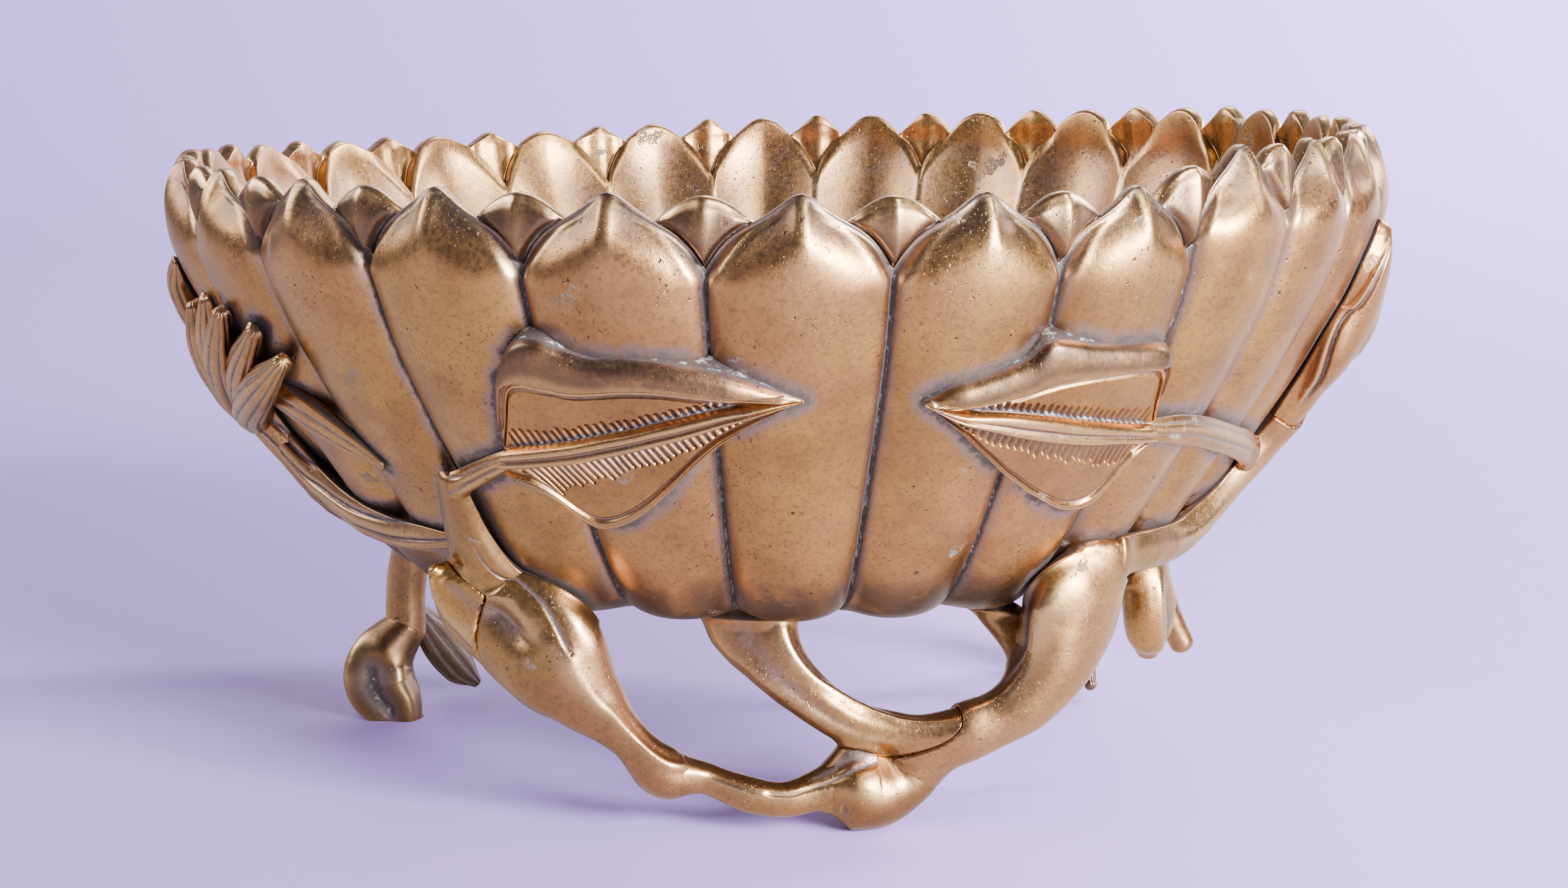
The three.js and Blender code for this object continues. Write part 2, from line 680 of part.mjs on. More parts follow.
// Left group: the rear leg carries the flower's stalks.
place('left_rear_leg', fit(rearLeg(leftRearAngle), bowlFit), stemBronze);
place('left_rear_foot', fit(rearFoot(leftRearAngle), rearLeg(leftRearAngle, seam)), recessBronze);
place('left_rear_web_leaf', fit(
  rearWebLeaf(leftRearAngle), rearLeg(leftRearAngle, seam), rearFoot(leftRearAngle, seam),
), recessBronze);
place('left_flower_stalk', fit(flowerStalk(), bowlFit, rearLeg(leftRearAngle, seam)), stemBronze);
place('left_flower', fit(flowerHead(), bowlFit, flowerStalk(seam)), reliefBronze);
place('left_narrow_leaf', fit(
  narrowLeaf(), bowlFit, flowerHead(seam), flowerStalk(seam),
), reliefBronze);
place('left_curled_leaf', fit(
  curledLeaf(), bowlFit, flowerHead(seam), flowerStalk(seam),
), reliefBronze);

// Right rear group, out of sight from the front.
place('right_rear_leg', fit(rearLeg(rightRearAngle), bowlFit), stemBronze);
place('right_rear_foot', fit(
  rearFoot(rightRearAngle), rearLeg(rightRearAngle, seam),
), recessBronze);
place('right_rear_web_leaf', fit(
  rearWebLeaf(rightRearAngle), rearLeg(rightRearAngle, seam), rearFoot(rightRearAngle, seam),
), recessBronze);

place('right_rear_leaf', fit(leaf(rightRearLeafShape), bowlFit), reliefBronze);
place('right_rear_leaf_stem', fit(
  rightRearPetiole(), bowlFit, leafCutter(rightRearLeafShape), rearLeg(rightRearAngle, seam),
), reliefBronze);
place('left_rear_leaf', fit(leaf(leftRearLeafShape), bowlFit), reliefBronze);
place('left_rear_leaf_stem', fit(
  leftRearPetiole(), bowlFit, leafCutter(leftRearLeafShape), rearLeg(leftRearAngle, seam),
  flowerStalk(seam),
), reliefBronze);

export default group;
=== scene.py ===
import bpy
import numpy as np
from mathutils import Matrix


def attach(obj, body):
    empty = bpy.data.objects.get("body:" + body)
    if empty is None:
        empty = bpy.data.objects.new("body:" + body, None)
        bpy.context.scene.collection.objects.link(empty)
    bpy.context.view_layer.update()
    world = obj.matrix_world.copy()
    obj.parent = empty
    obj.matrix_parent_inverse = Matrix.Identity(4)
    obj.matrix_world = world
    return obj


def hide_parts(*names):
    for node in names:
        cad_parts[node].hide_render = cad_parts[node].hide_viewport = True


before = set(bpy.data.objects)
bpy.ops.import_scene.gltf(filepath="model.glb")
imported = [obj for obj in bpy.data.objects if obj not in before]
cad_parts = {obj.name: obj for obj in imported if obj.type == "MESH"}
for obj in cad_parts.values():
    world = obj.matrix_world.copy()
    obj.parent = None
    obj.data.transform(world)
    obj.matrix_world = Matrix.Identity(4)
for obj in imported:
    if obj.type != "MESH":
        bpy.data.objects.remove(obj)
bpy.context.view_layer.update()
print("frame loaded:", len(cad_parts), "nodes")

# All shapes are worked out in millimetres and angles in degrees from the front (-Y),
# growing toward +X. They become metres when a mesh is made.
metre = 0.001

bowlShape = {
    "rimRadius": 110, "underRadius": 68, "stand": 37, "height": 74, "floorThickness": 4.6,
    "rightRise": 5.6, "leftSag": 2.4, "leftSwell": 1.7, "petals": 26, "firstPetal": -2.8,
    "tipDrop": 14.8, "tipSlope": 0.76, "tipRound": 0.1, "seamDepth": 4.4, "hoodDepth": 1.2,
    "keelPower": 0.84, "bodyPower": 2.05, "lipRoll": 0.5, "outerWall": 2.4, "lipRise": 0.25,
    "innerSetback": 0.9, "innerDrop": 14.5, "innerInset": 3.9, "innerWall": 2.3,
    "innerCurve": 4.2, "innerKeel": 0.5, "innerLipRise": 0.8, "fluteDepth": 2.9,
    "backKeel": 0.9, "waver": 0.1,
    "acrossHalf": 15, "rowsOuter": 80, "rowsInside": 17,
}
# Where dirt and painted shade lie on the bowl: pairs are distances in mm from a seam, below a tip,
# above the bottom or from a stem, where they are full and where they end, and shares are how
# strong they are. The seam's dirt only comes up to full over the pair clearOfTip. The brown
# below a tip is painted shade with some patina, and the brown above the bottom is painted shade.
bowlDirtAndShade = {
    "seam": (0.3, 2.6), "seamLine": (0.1, 0.7), "seamShare": 0.6, "clearOfTip": (5, 17),
    "tipShade": (7, 15), "bottomShade": (3.5, 12.0), "bottomShadeShare": 0.95,
    "besideStem": (0.6, 4.2), "stemShare": 0.86,
}
wallKnots = np.array([
    [-0.2, 0], [0, 0.004], [0.11, 0.045], [0.29, 0.17], [0.475, 0.33], [0.635, 0.467],
    [0.79, 0.615], [0.915, 0.757], [0.99, 0.9], [0.985, 1.0], [0.955, 1.12],
])
rearLegs = {"left": -101, "right": 130}


def smooth(x, low, high):
    # 3s^2 - 2s^3 of s = (x - low) / (high - low), held between 0 and 1
    s = np.clip((x - low) / (high - low), 0, 1)
    return s * s * (3 - 2 * s)


def mix(a, b, share):
    return a + (b - a) * share


def unit(vectors):
    return vectors / np.maximum(np.linalg.norm(vectors, axis=-1, keepdims=True), 1e-6)


def line(away, wide):
    # exp(-(away / wide)^2), which is 1 on a line and fades beside it
    return np.exp(-(away / wide)**2)


def spline(knots, t):
    # Catmull-Rom through the knots: at a share f of the way from p1 to p2 it is
    # (2 p1 + (p2 - p0) f + (2 p0 - 5 p1 + 4 p2 - p3) f^2 + (3 p1 - p0 - 3 p2 + p3) f^3) / 2
    knots = np.asarray(knots, float)
    at = np.clip(t, 0, 1) * (len(knots) - 1)
    i = np.minimum(at.astype(int), len(knots) - 2)
    f = (at - i)[..., None]
    ahead = 2 * knots[-1] - knots[-2]
    behind = 2 * knots[0] - knots[1]
    padded = np.vstack([behind, knots, ahead])
    p0, p1, p2, p3 = padded[i], padded[i + 1], padded[i + 2], padded[i + 3]
    return 0.5 * (2 * p1 + (p2 - p0) * f + (2 * p0 - 5 * p1 + 4 * p2 - p3) * f**2
                  + (3 * p1 - p0 - 3 * p2 + p3) * f**3)


# The wall's crest line, at equal steps of its length
spread = bowlShape["rimRadius"] - bowlShape["underRadius"]
wallPath = spline(wallKnots, np.linspace(0, 1, 4001))
wallPath = wallPath * [spread / 0.99, bowlShape["height"]]
wallPath = wallPath + [bowlShape["underRadius"], bowlShape["stand"]]
wallRun = np.concatenate([[0], np.cumsum(np.linalg.norm(np.diff(wallPath, axis=0), axis=1))])
wallLength = wallRun[-1]
wallShares = np.linspace(0, 1, 1601)
wallR = np.interp(wallShares * wallLength, wallRun, wallPath[:, 0])
wallZ = np.interp(wallShares * wallLength, wallRun, wallPath[:, 1])
slopeR = np.gradient(wallR)
slopeZ = np.gradient(wallZ)
slopeSize = np.hypot(slopeR, slopeZ)
wallNormalR = slopeZ / slopeSize
wallNormalZ = -slopeR / slopeSize


def shareAtHeight(z):
    return np.interp(z, np.maximum.accumulate(wallZ), wallShares)


def wallPoint(angle, share, proud):
    # (r sin a, -r cos a, z + nz proud) with r = R(share) + nr proud + swell(a)
    turn = np.radians(angle)
    r = np.interp(share, wallShares, wallR)
    swell = bowlShape["leftSwell"] * np.maximum(0, -np.sin(turn))**2
    swell = swell * (r - bowlShape["underRadius"]) / spread
    out = r + np.interp(share, wallShares, wallNormalR) * proud + swell
    up = np.interp(share, wallShares, wallZ) + np.interp(share, wallShares, wallNormalZ) * proud
    return np.stack(np.broadcast_arrays(np.sin(turn) * out, -np.cos(turn) * out, up), axis=-1)


def onBowl(angle, z, proud=0.0):
    return wallPoint(angle, shareAtHeight(z), proud)


def around(angle, radius, z):
    turn = np.radians(angle)
    return np.stack(np.broadcast_arrays(np.sin(turn) * radius, -np.cos(turn) * radius, z), axis=-1)


# Deterministic roughness of a hand-made surface: a sum of sines of many directions
waveSeeds = np.random.default_rng(7)
waveTurns = unit(waveSeeds.normal(size=(24, 3)))
wavePhases = waveSeeds.uniform(0, 2 * np.pi, 24)
wavePaces = waveSeeds.uniform(0.5, 2.0, 24)


def ripple(points, pitch):
    # mean over k of sin(2 pi pace_k (points . turn_k) / pitch + phase_k), about -1 to 1
    along = points @ waveTurns.T
    return np.sin(2 * np.pi * wavePaces * along / pitch + wavePhases).mean(axis=-1) * 2.6


def petalAngle(i):
    # Evenly spaced petals, moved by three slow waves, since the real ones are spaced by hand
    even = i * 360 / bowlShape["petals"]
    turn = np.radians(even)
    return (even + bowlShape["firstPetal"] + 3.8 * np.cos(turn - np.radians(27))
            + 1.9 * np.cos(2 * turn - np.radians(39)) + 1.3 * np.sin(3 * turn))


def rimHeight(angle):
    # The rim is bent up at the right and sags at the rear left
    a = np.mod(angle, 360)
    rise = smooth(a, 34, 42) * (1 - smooth(a, 105, 185)) * bowlShape["rightRise"]
    sag = bowlShape["leftSag"] * smooth(a, 175, 215) * (1 - smooth(a, 225, 280))
    return bowlShape["stand"] + bowlShape["height"] + rise - sag


def closedFaces(rows, count, base):
    # Corner numbers of a grid closed round, with a fan to a pole at each end
    k, j = np.meshgrid(np.arange(rows - 1), np.arange(count), indexing="ij")
    after = (j + 1) % count
    quads = np.stack([k * count + j, k * count + after, (k + 1) * count + after,
                      (k + 1) * count + j], axis=-1).reshape(-1, 4)
    j = np.arange(count)
    after = (j + 1) % count
    last = (rows - 1) * count
    startFan = np.stack([np.full(count, rows * count), after, j], axis=-1)
    endFan = np.stack([np.full(count, rows * count + 1), last + j, last + after], axis=-1)
    corners = np.concatenate([quads.ravel(), startFan.ravel(), endFan.ravel()]) + base
    sizes = np.concatenate([np.full(len(quads), 4), np.full(2 * count, 3)])
    return corners, sizes


def joinBands(bands, axis):
    # One grid and its marks from bands of it, each its points, groove, crest and shade
    grid = np.concatenate([points for points, *_ in bands], axis=axis)
    marks = {mark: np.concatenate([np.broadcast_to(band[k], band[0].shape[:2])
                                   for band in bands], axis=axis)
             for k, mark in enumerate(("groove", "crest", "shade"), 1)}
    return grid, marks


def facesInward(grid):
    # The sign of the volume that the rows of a closed grid go round
    a, b, c = grid[:-1, :], np.roll(grid[:-1, :], -1, axis=1), grid[1:, :]
    middle = grid.reshape(-1, 3).mean(axis=0)
    return np.einsum("ijk,ijk->", a - middle, np.cross(b - middle, c - middle)) < 0


def makeMesh(name, parts):
    # One object from closed grids: each part is its grid, its two poles and its marks
    points, corners, sizes, base = [], [], [], 0
    values = {"groove": [], "crest": [], "shade": []}
    for grid, poles, marks in parts:
        rows, count = grid.shape[:2]
        flat = {mark: np.broadcast_to(marks.get(mark, 0.0), (rows, count)) for mark in values}
        if facesInward(grid):
            grid = grid[:, ::-1]
            flat = {mark: field[:, ::-1] for mark, field in flat.items()}
        points.append(np.vstack([grid.reshape(-1, 3), poles]) * metre)
        faceCorners, faceSizes = closedFaces(rows, count, base)
        corners.append(faceCorners)
        sizes.append(faceSizes)
        base += rows * count + 2
        for mark, field in flat.items():
            values[mark].append(field.ravel())
            values[mark].append([field[0].mean(), field[-1].mean()])
    points, corners, sizes = np.vstack(points), np.concatenate(corners), np.concatenate(sizes)
    mesh = bpy.data.meshes.new(name)
    mesh.vertices.add(len(points))
    mesh.vertices.foreach_set("co", points.astype(np.float32).ravel())
    mesh.loops.add(len(corners))
    mesh.loops.foreach_set("vertex_index", corners.astype(np.int32))
    mesh.polygons.add(len(sizes))
    starts = np.concatenate([[0], np.cumsum(sizes)[:-1]])
    mesh.polygons.foreach_set("loop_start", starts.astype(np.int32))
    mesh.polygons.foreach_set("use_smooth", np.ones(len(sizes), bool))
    mesh.update(calc_edges=True)
    for mark, fields in values.items():
        layer = mesh.attributes.new(mark, "FLOAT", "POINT")
        layer.data.foreach_set("value", np.concatenate(fields).astype(np.float32))
    piece = bpy.data.objects.new(name, mesh)
    bpy.context.scene.collection.objects.link(piece)
    return piece


def addPiece(node, finish, parts, name=None):
    # A piece takes its name from its node, and its material and slot from its finish
    first, *rest = node.split("_")
    piece = makeMesh(name or first + "".join(word.title() for word in rest), parts)
    piece.data.materials.append(materials[finish + "Bronze"])
    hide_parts(node)
    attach(piece, "root")


# Materials

bronzeLooks = {
    "bowlBronze": {"body": (0.47, 0.235, 0.094), "rough": 0.33, "pits": 1.0, "grain": 0.09},
    "stemBronze": {"body": (0.39, 0.2, 0.094), "rough": 0.33, "pits": 0.85, "grain": 0.07},
    "reliefBronze": {"body": (0.45, 0.222, 0.088), "rough": 0.32, "pits": 0.65, "grain": 0.06},
    # The recess bronze is a darker copy of the others, painted shade for the feet and the web
    # under the bowl.
    "shadedRecessBronze": {"body": (0.31, 0.15, 0.065), "rough": 0.34, "pits": 0.9, "grain": 0.07},
}
# The worn tone is a painted highlight with some wear, laid on by the crest mark; the brown is
# painted shade where the shade mark lies, and also the colour of specks in the grain.
bronzeTones = {
    "worn": (0.84, 0.56, 0.28), "brown": (0.09, 0.064, 0.052), "film": (0.25, 0.185, 0.18),
    "tarnish": (0.085, 0.068, 0.068), "pit": (0.07, 0.045, 0.033), "patch": (0.2, 0.18, 0.18),
    "residue": (0.44, 0.43, 0.46),
}
# The body's colour times these is the golden tone and the duller one
bodyGains = {"body": (1.0, 1.0, 1.0), "golden": (1.02, 1.12, 0.85), "duller": (0.62, 0.62, 0.62)}
# Each noise's scale and detail, and the two values that it is spread between
patinaLook = {"cloud": (60.0, 8.0, 0.36, 0.62), "grain": (1300.0, 4.0, None, None),
              "gold": (24.0, 5.0, 0.42, 0.62)}
pitLook = {
    "tearScale": 1500.0, "tear": 0.0012, "crowdScale": 75.0, "crowded": (0.40, 0.62),
    # scale of the cells, share of them left whole, and the widest pit
    "layers": ((430.0, 0.72, 0.2), (900.0, 0.5, 0.24), (2000.0, 0.35, 0.3)),
    "patchScale": 95.0, "patches": (0.665, 0.7), "crumbScale": 1400.0, "crumbs": (0.44, 0.6),
}
grimeAndShadeLook = {
    "scales": (260.0, 600.0), "film": (0.12, 0.72), "tarnish": (0.58, 0.9),
    "residue": (0.84, 1.0), "chalk": (0.5, 0.64), "brown": (0.42, 0.78),
}


def newGroup(name, inputs, outputs):
    # Inputs are given as label and kind, and outputs are values, given by their labels
    group = bpy.data.node_groups.new(name, "ShaderNodeTree")
    for label, kind in inputs.items():
        group.interface.new_socket(label, in_out="INPUT", socket_type="NodeSocket" + kind)
    for label in outputs:
        group.interface.new_socket(label, in_out="OUTPUT", socket_type="NodeSocketFloat")
    return group, group.nodes.new("NodeGroupInput"), group.nodes.new("NodeGroupOutput")


def giveOut(tree, result, values):
    for index, value in enumerate(values):
        tree.links.new(value, result.inputs[index])
    return tree


def addNode(tree, kind, links=None, **settings):
    # One node, with settings on it and links or values into its inputs
    node = tree.nodes.new(kind)
    for key, value in settings.items():
        setattr(node, key, value)
    for key, value in (links or {}).items():
        if isinstance(value, bpy.types.NodeSocket):
            tree.links.new(value, node.inputs[key])
        else:
            node.inputs[key].default_value = value
    return node


def math(tree, operation, a, b=0.0, clamp=False):
    return addNode(tree, "ShaderNodeMath", {0: a, 1: b}, operation=operation,
                   use_clamp=clamp).outputs[0]


def ramp(tree, value, low, high):
    # 0 below low and 1 above high
    node = addNode(tree, "ShaderNodeMapRange", {0: value, 1: low, 2: high},
                   interpolation_type="SMOOTHSTEP")
    return node.outputs[0]


def noise(tree, place, scale, detail, roughness=0.5, distortion=0.0, output="Fac"):
    return addNode(tree, "ShaderNodeTexNoise", {
        "Vector": place, "Scale": scale, "Detail": detail, "Roughness": roughness,
        "Distortion": distortion}).outputs[output]


def blendColour(tree, share, a, b):
    node = addNode(tree, "ShaderNodeMix", {0: share, 6: a, 7: b}, data_type="RGBA")
    return node.outputs[2]


def patinaGroup():
    # Broad and fine changes of tone over a cast and polished bronze
    tree, given, result = newGroup("patina", {"Place": "Vector"}, ("Cloud", "Grain", "Gold"))
    values = []
    for scale, detail, low, high in patinaLook.values():
        value = noise(tree, given.outputs[0], scale, detail, 0.7)
        values.append(value if low is None else ramp(tree, value, low, high))
    return giveOut(tree, result, values)


def pitGroup():
    # Casting pits: small torn ones, and a few corroded patches of broken ones
    tree, given, result = newGroup("castingPits", {"Place": "Vector", "Amount": "Float"},
                                   ("Pit", "Patch", "Height"))
    place = given.outputs[0]
    tear = noise(tree, place, pitLook["tearScale"], 2.0, output="Color")
    shift = addNode(tree, "ShaderNodeVectorMath", {0: tear, 1: [pitLook["tear"]] * 3},
                    operation="MULTIPLY")
    torn = addNode(tree, "ShaderNodeVectorMath", {0: place, 1: shift.outputs[0]},
                   operation="ADD").outputs[0]
    crowded = ramp(tree, noise(tree, place, pitLook["crowdScale"], 4.0), *pitLook["crowded"])
    layers = []
    for scale, share, widest in pitLook["layers"]:
        cells = addNode(tree, "ShaderNodeTexVoronoi", {"Vector": torn, "Scale": scale,
                                                       "Randomness": 1.0})
        shuffle = addNode(tree, "ShaderNodeSeparateColor", {0: cells.outputs["Color"]})
        size = math(tree, "MULTIPLY", shuffle.outputs[0], widest)
        inside = ramp(tree, math(tree, "SUBTRACT", size, cells.outputs["Distance"]), -0.05, 0.08)
        chosen = ramp(tree, shuffle.outputs[1], share, share + 0.04)
        layers.append(math(tree, "MULTIPLY", inside, math(tree, "MULTIPLY", chosen, crowded)))
    pit = math(tree, "MAXIMUM", math(tree, "MAXIMUM", *layers[:2]), layers[2])
    pit = math(tree, "MULTIPLY", pit, given.outputs[1])
    islands = noise(tree, torn, pitLook["patchScale"], 3.0, distortion=0.4)
    crumbs = noise(tree, place, pitLook["crumbScale"], 4.0, 0.75)
    patch = math(tree, "MULTIPLY", ramp(tree, islands, *pitLook["patches"]),
                 ramp(tree, crumbs, *pitLook["crumbs"]))
    patch = math(tree, "MULTIPLY", patch, given.outputs[1])
    height = math(tree, "MULTIPLY", math(tree, "MAXIMUM", pit, patch), -1.0)
    return giveOut(tree, result, (pit, patch, height))


def grimeAndLightGroup():
    # What lies in grooves: a satin film, then black tarnish, and deepest of all pale residue,
    # with the crest mark as a painted highlight with some wear and the shade mark as painted shade
    tree, given, result = newGroup("grooveGrimeAndLight", {"Place": "Vector"},
                                   ("Film", "Tarnish", "Residue", "Wear", "Brown"))
    groove, shade, crest = (addNode(tree, "ShaderNodeAttribute", attribute_name=mark)
                            .outputs["Fac"] for mark in ("groove", "shade", "crest"))
    look = grimeAndShadeLook
    breakUp, chalk = (noise(tree, given.outputs[0], scale, 6.0, 0.72)
                      for scale in look["scales"])
    loose = math(tree, "MULTIPLY", math(tree, "SUBTRACT", breakUp, 0.5), 0.9)
    film = ramp(tree, math(tree, "ADD", groove, loose), *look["film"])
    loose = math(tree, "MULTIPLY", math(tree, "SUBTRACT", chalk, 0.5), 0.8)
    tarnish = ramp(tree, math(tree, "ADD", groove, loose), *look["tarnish"])
    residue = math(tree, "MULTIPLY", ramp(tree, groove, *look["residue"]),
                   ramp(tree, chalk, *look["chalk"]))
    fuller = math(tree, "ADD", breakUp, math(tree, "MULTIPLY", shade, 0.3))
    brown = math(tree, "MULTIPLY", shade, ramp(tree, fuller, *look["brown"]))
    return giveOut(tree, result, (film, tarnish, residue, crest, brown))


patina = patinaGroup()
castingPits = pitGroup()
grooveGrimeAndLight = grimeAndLightGroup()


def bronze(name):
    look = bronzeLooks[name]
    material = bpy.data.materials.new(name)
    material.use_nodes = True
    tree = material.node_tree
    shader = tree.nodes["Principled BSDF"]
    place = addNode(tree, "ShaderNodeTexCoord").outputs["Object"]
    tone = addNode(tree, "ShaderNodeGroup", node_tree=patina)
    pits = addNode(tree, "ShaderNodeGroup", node_tree=castingPits)
    grimeAndLight = addNode(tree, "ShaderNodeGroup", node_tree=grooveGrimeAndLight)
    for node in (tone, pits, grimeAndLight):
        tree.links.new(place, node.inputs["Place"])
    pits.inputs["Amount"].default_value = look["pits"]
    tones = {mark: (*value, 1.0) for mark, value in bronzeTones.items()}
    body, golden, duller = ((*(c * g for c, g in zip(look["body"], gain)), 1.0)
                            for gain in bodyGains.values())
    speck = ramp(tree, tone.outputs["Grain"], 0.52, 0.36)
    colour = blendColour(tree, tone.outputs["Gold"], body, golden)
    # The brown from the shade mark is painted shade, and the worn tone from the crest mark is a
    # painted highlight with some wear.
    for share, amount, over in (
            (tone.outputs["Cloud"], -0.75, duller), (speck, 0.35, tones["brown"]),
            (grimeAndLight.outputs["Brown"], 0.92, tones["brown"]),
            (grimeAndLight.outputs["Film"], 0.75, tones["film"]),
            (grimeAndLight.outputs["Wear"], 0.5, tones["worn"]),
            (grimeAndLight.outputs["Tarnish"], 1.0, tones["tarnish"]),
            (pits.outputs["Pit"], 0.9, tones["pit"]),
            (pits.outputs["Patch"], 1.0, tones["patch"]),
            (grimeAndLight.outputs["Residue"], 1.0, tones["residue"])):
        if amount < 0:
            share = math(tree, "SUBTRACT", 1.0, share)
        share = math(tree, "MULTIPLY", share, abs(amount))
        colour = blendColour(tree, share, colour, over)
    tree.links.new(colour, shader.inputs["Base Color"])
    dull = math(tree, "MAXIMUM", grimeAndLight.outputs["Residue"], math(
        tree, "MULTIPLY", pits.outputs["Patch"], 0.7))
    dull = math(tree, "MAXIMUM", dull, math(tree, "MULTIPLY", grimeAndLight.outputs["Tarnish"], 0.5))
    metal = math(tree, "SUBTRACT", 1.0, math(tree, "MULTIPLY", dull, 0.85))
    tree.links.new(metal, shader.inputs["Metallic"])
    rough = math(tree, "ADD", look["rough"], math(
        tree, "MULTIPLY", math(tree, "SUBTRACT", tone.outputs["Grain"], 0.5), 0.22))
    for share, amount in ((grimeAndLight.outputs["Brown"], 0.05), (grimeAndLight.outputs["Wear"], -0.06),
                          (grimeAndLight.outputs["Film"], 0.08), (dull, 0.4)):
        rough = math(tree, "ADD", rough, math(tree, "MULTIPLY", share, amount), clamp=True)
    tree.links.new(rough, shader.inputs["Roughness"])
    height = math(tree, "ADD", math(tree, "MULTIPLY", tone.outputs["Grain"], look["grain"]),
                  math(tree, "MULTIPLY", pits.outputs["Height"], 0.5))
    height = math(tree, "ADD", height, math(tree, "MULTIPLY", tone.outputs["Cloud"], 0.2))
    bump = addNode(tree, "ShaderNodeBump", {"Height": height, "Strength": 0.5,
                                            "Distance": 0.0004})
    tree.links.new(bump.outputs[0], shader.inputs["Normal"])
    return material


materials = {name: bronze(name) for name in bronzeLooks}
print("materials made")


def nearestTo(grid, places):
    # Distance of each point to the nearest place, by |p|^2 - 2 p.q + |q|^2, a slab at a time
    flat = grid.reshape(-1, 3)
    result = np.full(len(flat), 99.0)
    square = (places**2).sum(axis=1)
    slab = 4000
    for start in range(0, len(flat), slab):
        part = flat[start:start + slab]
        gap = (part**2).sum(axis=1)[:, None] - 2 * part @ places.T + square
        result[start:start + slab] = np.sqrt(np.maximum(gap.min(axis=1), 0))
    return result.reshape(grid.shape[:-1])


